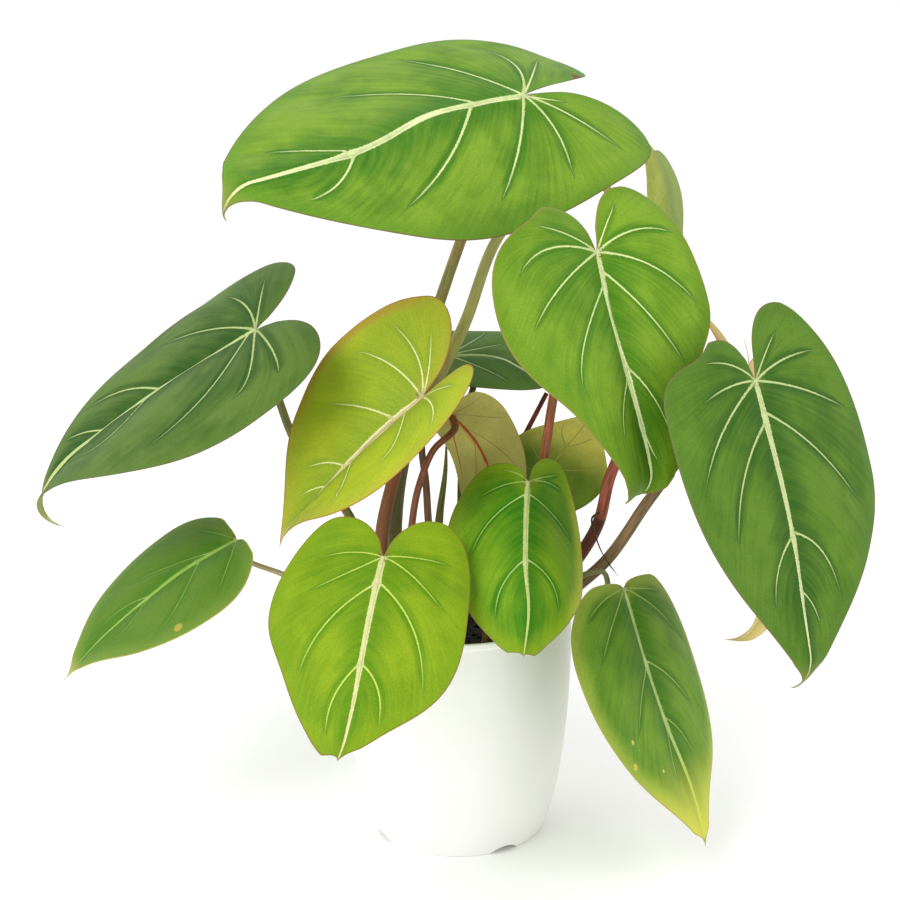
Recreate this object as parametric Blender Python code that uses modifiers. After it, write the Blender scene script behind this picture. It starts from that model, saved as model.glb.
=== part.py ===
# Potted philodendron gloriosum: plastic pot, potting mix, fourteen leaves on their petioles.
# Metres, +Z up, the front of the plant faces -Y. The pot stands on z = 0 with its axis on the Z axis.
# Run with: blender --background --python part.py
import math
import random

import bmesh
import bpy
import numpy as np
from mathutils import Matrix, Vector

mm = 0.001
SEED = 11

# Pot, in millimetres: a 15 cm nursery pot with a slim band at the rim.
RIM_RADIUS = 75.0
POT_HEIGHT = 150.0
FOOT_RADIUS = 54.0
WALL = 1.8
BAND_HEIGHT = 4.0
BAND_STEP = 1.2
WALL_BULGE = (2.25, 1.38)
FLOOR_BOTTOM = 3.0
FLOOR_TOP = 5.4
FOOT_WIDTH = 3.5
PAD_RADIUS = 20.0
DRAIN_RING = 34.0
DRAIN_RADIUS = 4.0
DRAIN_COUNT = 6
DRAIN_DEPTH = 14.0
ARCH_RADIUS = 14.6
ARCH_DROP = 10.6
ARCH_DEPTH = 12.0
ARCH_OUT = 2.5
ARCH_ANGLES = (-59.0, -155.0, 121.0, 25.0)
POT_STEPS = 48

# Potting mix
SOIL_TOP = 137.0
SOIL_CROWN = 2.0
SOIL_STEPS = 32
FIT_GAP = 0.3
HOLE_DEPTH = 28.0
HOLE_CUT_ABOVE = 14.0
STRAIGHT_RISE = 10.0

# Blades
BLADE_THICKNESS = 0.9
RINGS = (0.34, 0.62, 0.84, 1.0)
SINUS_START = 0.3
OUTLINE_STEPS = (2, 5, 6, 3)
SWELL_PLACES = (0.2, 0.4, 0.6, 0.8)
SWELL_REACH = 0.2
EVEN_EDGE = ((0, 0, 0, 0), (0, 0, 0, 0))
SEAT_ALONG = 3.5
SEAT_RISE = 9.0

# One row per leaf, numbered from the top of the plant down, in millimetres and degrees.
# at: where the petiole meets the blade. yaw: heading of the midrib, 0 is towards -Y and +90 is +X.
# dip: how far the midrib points below level. roll: turn about the midrib. droop: bend along the midrib.
# sway: sideways bend of the midrib. fold: each half bends down from the midrib. cup: bend across a half.
# sag: droop of the back lobes. hang: bend of the drip tip. halves, lobes, belly, full: outline of the
# half on the right and on the left when the leaf points at -Y. tip: share of the length in the drip tip.
# swell: how far each half's edge stands out at four places from the back lobe to the tip.
LEAVES = {
    1: dict(at=(47, 20, 470), yaw=-50, dip=8, roll=31, droop=-3, sway=2, fold=14, cup=10, sag=9, hang=140,
            length=247, halves=(80, 111), lobes=(85, 103), belly=(0.24, 0.17), full=(0.46, 0.43),
            tip=0.13, wave=2.0, swell=((-2.5, 2.5, -3.5, 3.5), (-0.5, 3, -2, 5.5))),
    2: dict(at=(-123, 30, 325), yaw=-99, dip=30, roll=19, droop=32, sway=0, fold=-12, cup=31, sag=14, hang=103,
            length=223, halves=(108, 101), lobes=(45, 26), belly=(0.14, 0.27), full=(0.39, 0.44),
            tip=0.19, wave=2.0, swell=((4, 0, -1, -2.5), (2, 0.5, -3.5, 7))),
    3: dict(at=(-18, -30, 294), yaw=-87, dip=41, roll=29, droop=20, sway=-6, fold=-29, cup=20, sag=-7, hang=28,
            length=137, halves=(57, 65), lobes=(35, 49), belly=(0.18, 0.21), full=(0.51, 0.43),
            tip=0.15, wave=1.6, swell=((5.5, 3, 4, 0), (-2.5, 9, 0, -1.5))),
    4: dict(at=(86, -62, 387), yaw=25, dip=63, roll=17, droop=4, sway=4, fold=-18, cup=26, sag=14, hang=101,
            length=154, halves=(76, 87), lobes=(43, 34), belly=(0.25, 0.26), full=(0.35, 0.52),
            tip=0.10, wave=2.4, swell=((0.5, 0.5, -7.5, 1.5), (-13, 9.5, -0.5, 12))),
    5: dict(at=(179, -70, 310), yaw=24, dip=61, roll=20, droop=17, sway=2, fold=-1, cup=6, sag=1, hang=77,
            length=192, halves=(91, 80), lobes=(57, 36), belly=(0.31, 0.15), full=(0.44, 0.46),
            tip=0.13, wave=2.6, swell=((-10, 7.5, -2, 2.5), (-20, 0.5, 9, 3))),
    6: dict(at=(-138, 0, 196), yaw=-75, dip=28, roll=8, droop=21, sway=5, fold=-7, cup=18, sag=8, hang=-3,
            length=141, halves=(62, 62), lobes=(7, 2), belly=(0.33, 0.29), full=(0.49, 0.52),
            tip=0.10, wave=1.2, swell=((-4.5, 3.5, 0.5, -0.5), (-3.5, 2, 1.5, -1.5))),
    7: dict(at=(-42, -112, 219), yaw=-8, dip=28, roll=3, droop=12, sway=-4, fold=5, cup=16, sag=-7, hang=-37,
            length=150, halves=(57, 61), lobes=(30, 33), belly=(0.29, 0.23), full=(0.51, 0.42),
            tip=0.08, wave=1.8, swell=((2.5, -2, 0.5, -1), (-2.5, 4, -1.5, 5))),
    8: dict(at=(45, -54, 246), yaw=-3, dip=30, roll=9, droop=9, sway=-1, fold=27, cup=21, sag=-5, hang=-28,
            length=135, halves=(44, 56), lobes=(30, 23), belly=(0.39, 0.21), full=(0.50, 0.46),
            tip=0.07, wave=1.8, swell=((-1, 6, 0, 0.5), (-2, 1.5, -2, 2))),
    9: dict(at=(104, -42, 173), yaw=37, dip=65, roll=21, droop=-4, sway=3, fold=-7, cup=24, sag=9, hang=6,
            length=165, halves=(68, 69), lobes=(8, 6), belly=(0.24, 0.30), full=(0.60, 0.51),
            tip=0.06, wave=1.4, swell=((-5.5, 3.5, 4, -3), (-1, 2.5, 0.5, -0.5))),
    10: dict(at=(-2, 70, 297), yaw=96, dip=1, roll=-13, droop=29, sway=-4, fold=1, cup=6, sag=9, hang=20,
             length=110, halves=(47, 42), lobes=(30, 33), belly=(0.21, 0.34), full=(0.47, 0.55),
             tip=0.11, wave=1.6, swell=EVEN_EDGE),
    11: dict(at=(-2, -20, 281), yaw=129, dip=46, roll=56, droop=16, sway=39, fold=-9, cup=1, sag=9, hang=0,
             length=112, halves=(15, 29), lobes=(4, 2), belly=(0.16, 0.22), full=(0.49, 0.43),
             tip=0.08, wave=0.8, swell=EVEN_EDGE),
    12: dict(at=(58, 45, 223), yaw=61, dip=-53, roll=53, droop=26, sway=-1, fold=5, cup=19, sag=6, hang=52,
             length=61, halves=(38, 36), lobes=(19, 20), belly=(0.17, 0.25), full=(0.46, 0.48),
             tip=0.11, wave=0.8, swell=EVEN_EDGE),
    13: dict(at=(128, 85, 380), yaw=79, dip=94, roll=7, droop=18, sway=0, fold=-30, cup=5, sag=8, hang=0,
             length=108, halves=(55, 47), lobes=(43, 54), belly=(0.18, 0.22), full=(0.48, 0.48),
             tip=0.12, wave=1.2, swell=EVEN_EDGE),
    14: dict(at=(186, 16, 284), yaw=48, dip=71, roll=25, droop=42, sway=-26, fold=-15, cup=25, sag=11, hang=70,
             length=174, halves=(56, 60), lobes=(17, 50), belly=(0.30, 0.28), full=(0.50, 0.48),
             tip=0.10, wave=1.4, swell=EVEN_EDGE),
}

# Petiole of each leaf: where it leaves the potting mix, the points that it passes, its radius low and high.
PETIOLES = {
    1: dict(root=(-44, -6), via=((-46, -3, 198), (-37, 0, 237), (-6, 10, 346), (7, 15, 381)),
            radii=(4.6, 3.0)),
    2: dict(root=(-42, 30), via=((-68, 30, 202), (-103, 32, 256), (-110, 32, 278)), radii=(3.4, 2.5)),
    3: dict(root=(-10, -31), via=((-16, -30, 215), (-17, -30, 240), (-19, -30, 263)), radii=(2.8, 2.0)),
    4: dict(root=(40, -12), via=((50, -16, 200), (56, -18, 247), (62, -20, 289), (74, -24, 345)),
            radii=(3.4, 2.6)),
    5: dict(root=(59, -8), via=((63, -9, 150), (74, -12, 162), (92, -17, 180), (121, -30, 227),
                                (160, -46, 285)),
            radii=(4.2, 3.0)),
    6: dict(root=(-52, -16), via=((-62, -10, 155), (-84, -3, 163), (-111, 0, 173)), radii=(2.2, 1.6)),
    7: dict(root=(-26, -48), via=((-29, -60, 165), (-36, -84, 195)), radii=(3.0, 2.2)),
    8: dict(root=(18, -40), via=((24, -38, 180), (38, -32, 222)), radii=(2.8, 2.0)),
    9: dict(root=(42, -34), via=((58, -35, 162), (76, -34, 178), (92, -34, 181)), radii=(2.2, 1.6)),
    10: dict(root=(4, 26), via=((5, 46, 220), (8, 55, 262), (14, 62, 282)), radii=(2.6, 2.0)),
    11: dict(root=(-24, -22), via=((-26, -33, 215), (-21, -39, 241), (-12, -40, 263)), radii=(2.6, 2.0)),
    12: dict(root=(34, 18), via=((40, 32, 180), (48, 42, 205)), radii=(2.2, 1.7)),
    13: dict(root=(-36, 14), via=((-38, 12, 196), (-32, 15, 240), (10, 25, 330), (31, 32, 381), (58, 42, 411),
                                  (98, 70, 408)), radii=(5.2, 2.6)),
    14: dict(root=(54, 16), via=((92, 12, 199), (100, 10, 232), (126, 14, 274), (166, 14, 290)),
             radii=(4.8, 2.6)),
}

# Rolled new leaf, the bare stalk of an old leaf at the back, and the dried sheath that hangs from the
# thick petiole on the right
SPEAR = dict(root=(-13, -4), via=((-9, -2, 212), (-5, 0, 239)), tip=(-4, 0, 256), radii=(4.2, 0.6))
BARE_STALK = dict(root=(-8, 50), via=((8, 60, 172), (31, 72, 210), (46, 80, 236)), tip=(63, 88, 266),
                  radii=(2.4, 1.6))
SHEATH = dict(points=((91.7, 7.75, 207), (87, -1, 206), (88, -13, 200), (92, -24, 190), (97, -30, 183),
                      (101, -33, 178)), radius=0.8)

# Colours: most blades and petioles share one, the rest are named by their number.
LEAF_GREEN = (0.10, 0.26, 0.03)
LEAF_COLOURS = {
    2: (0.05, 0.17, 0.03),
    3: (0.30, 0.38, 0.03),
    7: (0.20, 0.42, 0.02),
    10: (0.02, 0.08, 0.01),
    11: (0.30, 0.30, 0.16),
    12: (0.26, 0.30, 0.06),
    14: (0.45, 0.33, 0.12),
}
PETIOLE_OLIVE = (0.16, 0.15, 0.07)
PETIOLE_COLOURS = {
    4: (0.24, 0.07, 0.04),
    11: (0.25, 0.08, 0.05),
    13: (0.30, 0.33, 0.20),
    14: (0.42, 0.16, 0.12),
}


def clear_scene():
    for item in list(bpy.data.objects):
        bpy.data.objects.remove(item, do_unlink=True)


def make_collections(name):
    part = bpy.data.collections.new(name)
    cutters = bpy.data.collections.new("cutters")
    for collection in (part, cutters):
        bpy.context.scene.collection.children.link(collection)
    return part, cutters


def make_material(name, colour, roughness):
    material = bpy.data.materials.new(name)
    material.use_nodes = True
    shader = material.node_tree.nodes["Principled BSDF"]
    shader.inputs["Base Color"].default_value = (*colour, 1.0)
    shader.inputs["Roughness"].default_value = roughness
    shader.inputs["Metallic"].default_value = 0.0
    material.diffuse_color = (*colour, 1.0)
    return material


def add_object(name, mesh, collection, material=None, smooth=True):
    item = bpy.data.objects.new(name, mesh)
    collection.objects.link(item)
    if material:
        mesh.materials.append(material)
    if smooth:
        for face in mesh.polygons:
            face.use_smooth = True
    return item


def turned(name, profile, steps, collection, material):
    """A profile of (radius, height) points, from its top to its bottom, turned about Z."""
    mesh = bpy.data.meshes.new(name)
    points = [(r * mm, 0.0, z * mm) for r, z in profile]
    mesh.from_pydata(points, [(i, i + 1) for i in range(len(points) - 1)], [])
    item = add_object(name, mesh, collection, material, smooth=False)
    screw = item.modifiers.new("turn", "SCREW")
    screw.axis = "Z"
    screw.angle = 2 * math.pi
    screw.steps = steps
    screw.render_steps = steps
    screw.use_merge_vertices = True
    screw.merge_threshold = 0.00001
    screw.use_normal_calculate = True
    screw.use_smooth_shade = True
    return item


def cut(item, cutter):
    boolean = item.modifiers.new("cut " + cutter.name, "BOOLEAN")
    boolean.operation = "DIFFERENCE"
    boolean.solver = "EXACT"
    boolean.object = cutter


def add_cutter(name, radius, depth, matrix, collection, vertices=20):
    work = bmesh.new()
    bmesh.ops.create_cone(work, cap_ends=True, segments=vertices, radius1=radius * mm, radius2=radius * mm,
                          depth=depth * mm)
    mesh = bpy.data.meshes.new(name)
    work.to_mesh(mesh)
    work.free()
    item = add_object(name, mesh, collection, smooth=False)
    item.matrix_world = matrix
    item.hide_render = True
    item.display_type = "WIRE"
    return item


# Pot

def wall_radius(height):
    """Outside radius of the pot: nearly upright at the top, turning in towards the foot."""
    fall = 1.0 - height / POT_HEIGHT
    power, root = WALL_BULGE
    return FOOT_RADIUS + (RIM_RADIUS - FOOT_RADIUS) * (1.0 - fall ** power) ** (1.0 / root)


def pot_profile():
    body = RIM_RADIUS - BAND_STEP
    scale = body / RIM_RADIUS
    levels = [130.0, 105.0, 80.0, 58.0, 40.0, 25.0, 14.0, 7.0, 3.0]
    inside = [(wall_radius(z) * scale - WALL, z) for z in levels if z > FLOOR_TOP + 4.0]
    outside = [(wall_radius(z) * scale, z) for z in levels]
    corner = inside[-1][0] - 2.0
    profile = [(0.0, FLOOR_TOP), (corner - 3.0, FLOOR_TOP), (corner, FLOOR_TOP + 2.0)]
    profile += inside[::-1]
    profile += [(RIM_RADIUS - WALL - 1.0, POT_HEIGHT - 1.0), (RIM_RADIUS - WALL - 0.6, POT_HEIGHT)]
    profile += [(RIM_RADIUS - 0.6, POT_HEIGHT), (RIM_RADIUS, POT_HEIGHT - 0.6)]
    profile += [(RIM_RADIUS, POT_HEIGHT - BAND_HEIGHT), (body, POT_HEIGHT - BAND_HEIGHT - 0.4)]
    profile += outside
    foot = wall_radius(3.0) * scale
    profile += [(foot - 1.2, 0.0), (foot - FOOT_WIDTH, 0.0), (foot - FOOT_WIDTH - 0.8, FLOOR_BOTTOM)]
    profile += [(PAD_RADIUS + 0.8, FLOOR_BOTTOM), (PAD_RADIUS, 0.0), (0.0, 0.0)]
    return profile


def make_pot(part, cutters):
    white = make_material("white_plastic", (0.86, 0.86, 0.85), 0.38)
    pot = turned("pot", pot_profile(), POT_STEPS, part, white)
    for number in range(DRAIN_COUNT):
        angle = 2 * math.pi * (number + 0.5) / DRAIN_COUNT
        out = DRAIN_RING * mm
        place = Matrix.Translation((out * math.cos(angle), out * math.sin(angle), FLOOR_TOP * mm))
        cut(pot, add_cutter(f"drain_{number + 1}", DRAIN_RADIUS, DRAIN_DEPTH, place, cutters, 16))
    for number, degrees in enumerate(ARCH_ANGLES):
        turn = Matrix.Rotation(math.radians(degrees), 4, "Z")
        across = Matrix.Rotation(math.pi / 2, 4, "Y")
        place = turn @ Matrix.Translation(((FOOT_RADIUS + ARCH_OUT) * mm, 0, -ARCH_DROP * mm)) @ across
        cut(pot, add_cutter(f"arch_{number + 1}", ARCH_RADIUS, ARCH_DEPTH, place, cutters, 32))
    return pot


# Potting mix

def inner_radius(height):
    return wall_radius(height) * (RIM_RADIUS - BAND_STEP) / RIM_RADIUS - WALL


def make_soil(part, cutters):
    mix = make_material("potting_mix", (0.016, 0.012, 0.010), 0.95)
    floor = FLOOR_TOP + FIT_GAP
    levels = [130.0, 105.0, 80.0, 58.0, 40.0, 25.0, 14.0]
    edge = inner_radius(SOIL_TOP) - FIT_GAP
    profile = [(0.0, SOIL_TOP + SOIL_CROWN), (0.5 * edge, SOIL_TOP + 0.7 * SOIL_CROWN)]
    profile += [(edge - 1.0, SOIL_TOP), (edge, SOIL_TOP - 1.0)]
    profile += [(inner_radius(z) - FIT_GAP - 0.15, z) for z in levels]
    profile += [(inner_radius(14.0) - 3.5, floor + 2.2), (inner_radius(14.0) - 6.5, floor), (0.0, floor)]
    soil = turned("potting_mix", profile, SOIL_STEPS, part, mix)
    stems = list(PETIOLES.items()) + [("spear", SPEAR), ("bare_stalk", BARE_STALK)]
    for key, stem in stems:
        start, direction = root_line(stem)
        radius = stem["radii"][0] + FIT_GAP
        length = HOLE_DEPTH + FIT_GAP + HOLE_CUT_ABOVE
        centre = Vector(start) + Vector(direction) * (length / 2 - HOLE_DEPTH - FIT_GAP)
        aim = Vector(direction).to_track_quat("Z", "Y").to_matrix().to_4x4()
        cut(soil, add_cutter(f"hole_{key}", radius / math.cos(math.pi / 16), length,
                             Matrix.Translation(centre * mm) @ aim, cutters, 16))
    return soil


# Blades

def cubic(p0, p1, p2, p3, steps, start=0.0):
    t = np.linspace(start, 1.0, steps + 1)[:, None]
    p0, p1, p2, p3 = (np.asarray(p, float) for p in (p0, p1, p2, p3))
    return (1 - t) ** 3 * p0 + 3 * t * (1 - t) ** 2 * p1 + 3 * t * t * (1 - t) * p2 + t ** 3 * p3


def half_outline(leaf, side, steps=OUTLINE_STEPS):
    """Edge of one half in the flat leaf, from the sinus round the back lobe to the drip tip."""
    length, width, lobe = leaf["length"], leaf["halves"][side], leaf["lobes"][side]
    wide = leaf["belly"][side] * length
    point_length = leaf["tip"] * length
    shoulder = np.array([0.10 * width + 4.0, length - point_length])
    back = np.array([0.50 * width, -lobe])
    broad = np.array([width, wide])
    run = shoulder[1] - broad[1]
    slope = np.array([-1.0, 1.25]) / math.hypot(1.0, 1.25)
    sinus = cubic((0, 0), (0.02 * width, -0.35 * lobe), back - (0.34 * width, -0.02 * lobe), back, steps[0],
                  SINUS_START)
    low = cubic(back, back + (0.33 * width, 0), broad - (0, 0.55 * (wide + lobe)), broad, steps[1])
    fullness = (0, leaf["full"][side] * run)
    high = cubic(broad, broad + fullness, shoulder - slope * 0.42 * run, shoulder, steps[2])
    point = cubic(shoulder, shoulder + slope * 0.25 * point_length, (0, length - 0.5 * point_length),
                  (0, length), steps[3])
    edge = np.concatenate([sinus, low[1:], high[1:], point[1:]])
    share = np.linspace(0, 1, len(edge))[:, None]
    humps = 0.5 + 0.5 * np.cos(np.pi * ((share - SWELL_PLACES) / SWELL_REACH).clip(-1, 1))
    away = edge - (0.0, 0.3 * length)
    away /= np.linalg.norm(away, axis=1)[:, None]
    return edge + away * (humps @ leaf["swell"][side])[:, None]


def midrib_frames(leaf, count=80):
    """Points and axes along the bent midrib, in the leaf's own axes (side, along, up)."""
    s = np.linspace(0.0, 1.0, count)
    down = math.radians(leaf["droop"]) * s ** 2
    down += math.radians(leaf["hang"]) * np.clip((s - 0.85) / 0.15, 0, 1)
    turn = math.radians(leaf["sway"]) * s
    along = np.stack([np.sin(turn) * np.cos(down), np.cos(turn) * np.cos(down), -np.sin(down)], -1)
    side = np.stack([np.cos(turn), -np.sin(turn), np.zeros(count)], -1)
    up = np.cross(side, along)
    step = leaf["length"] / (count - 1)
    points = np.concatenate([np.zeros((1, 3)), np.cumsum((along[1:] + along[:-1]) / 2 * step, axis=0)])
    return s * leaf["length"], points, along, side, up


def leaf_axes(leaf):
    """World directions of the leaf's side, midrib and upper face."""
    yaw, dip, roll = (math.radians(leaf[key]) for key in ("yaw", "dip", "roll"))
    along = np.array([math.sin(yaw) * math.cos(dip), -math.cos(yaw) * math.cos(dip), -math.sin(dip)])
    level = np.array([math.cos(yaw), math.sin(yaw), 0.0])
    up = np.cross(along, level)
    side = level * math.cos(roll) - up * math.sin(roll)
    return np.stack([side, along, np.cross(along, side)])


def bend(leaf, side, flat, lift=0.0):
    """Flat (across, along) points of one half, in millimetres, to the leaf's place in the world."""
    sign = 1.0 if side == 0 else -1.0
    reach, points, along, across, up = midrib_frames(leaf)
    v = np.clip(flat[:, 1], 0, leaf["length"])
    tables = (points, along, across, up)
    at = [np.stack([np.interp(v, reach, table[:, i]) for i in range(3)], -1) for table in tables]
    fold = math.radians(leaf["fold"])
    bow = math.radians(leaf["cup"]) / leaf["halves"][side] + 1e-7
    x = flat[:, 0]
    out = (np.sin(fold + bow * x) - math.sin(fold)) / bow
    rise = (np.cos(fold + bow * x) - math.cos(fold)) / bow
    behind = np.minimum(flat[:, 1], 0.0)
    place = at[0] + sign * out[:, None] * at[2] + (rise + lift)[:, None] * at[3]
    place += behind[:, None] * along[0]
    place -= (behind ** 2 / (0.25 * leaf["length"]) * math.tan(math.radians(leaf["sag"])))[:, None] * up[0]
    return place @ leaf_axes(leaf) + np.array(leaf["at"], float)


def make_blade(number, leaf, part, draw):
    outlines = [half_outline(leaf, side) for side in (0, 1)]
    columns = len(outlines[0])
    share = np.linspace(0, 1, columns)
    verts = [np.array(leaf["at"], float)]
    index = {}
    for side in (0, 1):
        phase = draw.uniform(0, 2 * math.pi)
        ripple = np.sin(2 * math.pi * 2.5 * share + phase) * np.sqrt(np.sin(math.pi * share).clip(0))
        for ring, reach in enumerate(RINGS):
            flat = outlines[side] * reach
            rows = bend(leaf, side, flat, leaf["wave"] * reach ** 3 * ripple)
            for column in range(columns):
                if side == 1 and column == columns - 1:
                    index[1, ring, column] = index[0, ring, column]
                    continue
                index[side, ring, column] = len(verts)
                verts.append(rows[column])
    faces = []
    for side in (0, 1):
        for column in range(columns - 1):
            fan = [0, index[side, 0, column], index[side, 0, column + 1]]
            faces.append(fan if side == 0 else fan[::-1])
            for ring in range(len(RINGS) - 1):
                a, b = index[side, ring, column], index[side, ring, column + 1]
                c, d = index[side, ring + 1, column + 1], index[side, ring + 1, column]
                for face in ((a, d, c), (a, c, b)):
                    faces.append(face if side == 0 else face[::-1])
    name = f"leaf_blade_{number:02d}"
    mesh = bpy.data.meshes.new(name)
    mesh.from_pydata([tuple(v * mm) for v in verts], [], faces)
    green = make_material(f"leaf_green_{number:02d}", LEAF_COLOURS.get(number, LEAF_GREEN), 0.5)
    blade = add_object(name, mesh, part, green)
    shell = blade.modifiers.new("thickness", "SOLIDIFY")
    shell.thickness = BLADE_THICKNESS * mm
    shell.offset = 0.0
    return blade


# Stems

def root_line(stem):
    """Where a stem leaves the potting mix and the direction in which it rises."""
    x, y = stem["root"]
    start = Vector((x, y, SOIL_TOP + SOIL_CROWN))
    first = Vector(stem["via"][0])
    return start, (first - start).normalized()


def smooth_path(points, spacing=15.0):
    """A Hermite curve through the points, sampled about every spacing millimetres."""
    points = [np.asarray(p, float) for p in points]
    gaps = [np.linalg.norm(b - a) for a, b in zip(points, points[1:])]
    slopes = [(points[1] - points[0]) / gaps[0]]
    for i in range(1, len(points) - 1):
        before, after = (points[i] - points[i - 1]) / gaps[i - 1], (points[i + 1] - points[i]) / gaps[i]
        slopes.append((before * gaps[i] + after * gaps[i - 1]) / (gaps[i - 1] + gaps[i]))
    slopes.append((points[-1] - points[-2]) / gaps[-1])
    path = [points[0]]
    for i, gap in enumerate(gaps):
        steps = max(1, round(gap / spacing))
        for k in range(1, steps + 1):
            t = k / steps
            ease = 3 * t ** 2 - 2 * t ** 3
            leave, arrive = (t ** 3 - 2 * t ** 2 + t) * gap, (t ** 3 - t ** 2) * gap
            middle = (1 - ease) * points[i] + ease * points[i + 1]
            path.append(middle + leave * slopes[i] + arrive * slopes[i + 1])
    return path


def sweep(name, path, radii, part, material):
    """A closed round stem along the path, with a radius from radii[0] at its start to radii[1] at its end."""
    curve = bpy.data.curves.new(name, "CURVE")
    curve.dimensions = "3D"
    curve.bevel_depth = mm
    curve.bevel_resolution = 2
    curve.use_fill_caps = True
    spline = curve.splines.new("POLY")
    spline.points.add(len(path) - 1)
    for i, (point, place) in enumerate(zip(spline.points, path)):
        point.co = (*(np.asarray(place) * mm), 1.0)
        share = max(0.0, (i - 1) / (len(path) - 2))
        point.radius = radii[0] + (radii[1] - radii[0]) * share
    holder = bpy.data.objects.new(name + "_curve", curve)
    part.objects.link(holder)
    bpy.context.view_layer.update()
    mesh = bpy.data.meshes.new_from_object(holder)
    mesh.name = name
    matrix = holder.matrix_world.copy()
    bpy.data.objects.remove(holder, do_unlink=True)
    work = bmesh.new()
    work.from_mesh(mesh)
    bmesh.ops.remove_doubles(work, verts=work.verts[:], dist=0.00001)
    bmesh.ops.triangulate(work, faces=work.faces[:])
    bmesh.ops.recalc_face_normals(work, faces=work.faces[:])
    work.to_mesh(mesh)
    work.free()
    mesh.materials.clear()
    item = add_object(name, mesh, part, material)
    item.matrix_world = matrix
    return item


def seat_on_blade(leaf, radius):
    """End of the petiole under the blade, 0.3 mm clear of it, and a point straight below that end."""
    axes = leaf_axes(leaf)
    seat = bend(leaf, 0, np.array([[0.0, SEAT_ALONG]]))[0]
    fold = math.radians(max(leaf["fold"] + 3.0, 0.0))
    drop = BLADE_THICKNESS / 2 / math.cos(fold) + FIT_GAP + radius * math.tan(fold)
    return seat - axes[2] * drop, seat - axes[2] * (drop + SEAT_RISE)


def make_petiole(number, stem, part):
    start, direction = root_line(stem)
    end, below = seat_on_blade(LEAVES[number], stem["radii"][1])
    foot = start - direction * HOLE_DEPTH
    rise = start + direction * STRAIGHT_RISE
    path = [foot] + smooth_path([tuple(rise), *stem["via"], tuple(below), tuple(end)])
    skin = make_material(f"petiole_skin_{number:02d}", PETIOLE_COLOURS.get(number, PETIOLE_OLIVE), 0.6)
    return sweep(f"petiole_{number:02d}", path, stem["radii"], part, skin)


def make_free_stem(name, stem, part, skin):
    """A stem that ends free in the air, such as the rolled new leaf."""
    start, direction = root_line(stem)
    foot = start - direction * HOLE_DEPTH
    path = [foot] + smooth_path([tuple(start + direction * STRAIGHT_RISE), *stem["via"], stem["tip"]])
    return sweep(name, path, stem["radii"], part, skin)


def make_spear(part):
    green = make_material("new_leaf_green", (0.06, 0.14, 0.03), 0.5)
    return make_free_stem("rolled_new_leaf", SPEAR, part, green)


def make_bare_stalk(part):
    red = make_material("bare_stalk_red", PETIOLE_COLOURS[11], 0.6)
    return make_free_stem("bare_petiole", BARE_STALK, part, red)


def make_sheath(part):
    path = smooth_path(SHEATH["points"], 5.0)
    brown = make_material("dried_sheath_brown", (0.05, 0.02, 0.012), 0.8)
    return sweep("dried_sheath", path, (SHEATH["radius"], SHEATH["radius"] * 0.7), part, brown)


def main():
    clear_scene()
    part, cutters = make_collections("potted_philodendron_gloriosum")
    draw = random.Random(SEED)
    make_pot(part, cutters)
    make_soil(part, cutters)
    for number, leaf in LEAVES.items():
        make_blade(number, leaf, part, draw)
    for number, stem in PETIOLES.items():
        make_petiole(number, stem, part)
    make_spear(part)
    make_bare_stalk(part)
    make_sheath(part)
    cutters.hide_render = True


main()
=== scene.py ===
import math
import random

import bmesh
import bpy
import numpy as np
from mathutils import Matrix, Vector, noise


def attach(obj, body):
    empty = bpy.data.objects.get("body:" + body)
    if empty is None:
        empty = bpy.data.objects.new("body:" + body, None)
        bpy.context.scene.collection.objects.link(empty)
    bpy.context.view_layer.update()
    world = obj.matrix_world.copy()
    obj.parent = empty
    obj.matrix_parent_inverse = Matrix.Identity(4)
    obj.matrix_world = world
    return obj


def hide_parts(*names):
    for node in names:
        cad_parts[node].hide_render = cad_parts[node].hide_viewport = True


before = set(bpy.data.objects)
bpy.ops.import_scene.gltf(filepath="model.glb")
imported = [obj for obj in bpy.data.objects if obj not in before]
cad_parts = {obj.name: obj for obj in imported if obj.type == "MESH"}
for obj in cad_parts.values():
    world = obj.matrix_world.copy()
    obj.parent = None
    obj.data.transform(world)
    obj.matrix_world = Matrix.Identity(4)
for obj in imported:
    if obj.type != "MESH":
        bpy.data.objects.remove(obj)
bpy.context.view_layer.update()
mm = 0.001
print("frame loaded:", len(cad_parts), "nodes")


# Helpers

def linearColour(hexCode):
    channels = [int(hexCode[i:i + 2], 16) / 255 for i in (0, 2, 4)]
    return tuple(c / 12.92 if c <= 0.04045 else ((c + 0.055) / 1.055) ** 2.4 for c in channels) + (1.0,)


def newSkin(name, settings):
    # settings: sockets of the shader that are the same all over the surface
    skin = bpy.data.materials.new(name)
    skin.use_nodes = True
    for socket, value in settings.items():
        skin.node_tree.nodes["Principled BSDF"].inputs[socket].default_value = value
    return skin


def linkTo(skin, node, values):
    # values: node properties and sockets; a node or its output is linked, a hex colour turned to linear,
    # and "From" and "To" set the two limits of a range
    for name, value in values.items():
        if isinstance(value, bpy.types.Node):
            value = next(output for output in value.outputs if output.enabled)
        if isinstance(value, bpy.types.NodeSocket):
            skin.node_tree.links.new(value, node.inputs[name])
        elif isinstance(name, str) and hasattr(node, name):
            setattr(node, name, value)
        elif name in ("From", "To"):
            node.inputs[name + " Min"].default_value = value[0]
            node.inputs[name + " Max"].default_value = value[1]
        else:
            node.inputs[name].default_value = linearColour(value) if isinstance(value, str) else value


def addNode(skin, kind, values):
    node = skin.node_tree.nodes.new("ShaderNode" + kind)
    linkTo(skin, node, values)
    return node


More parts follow.
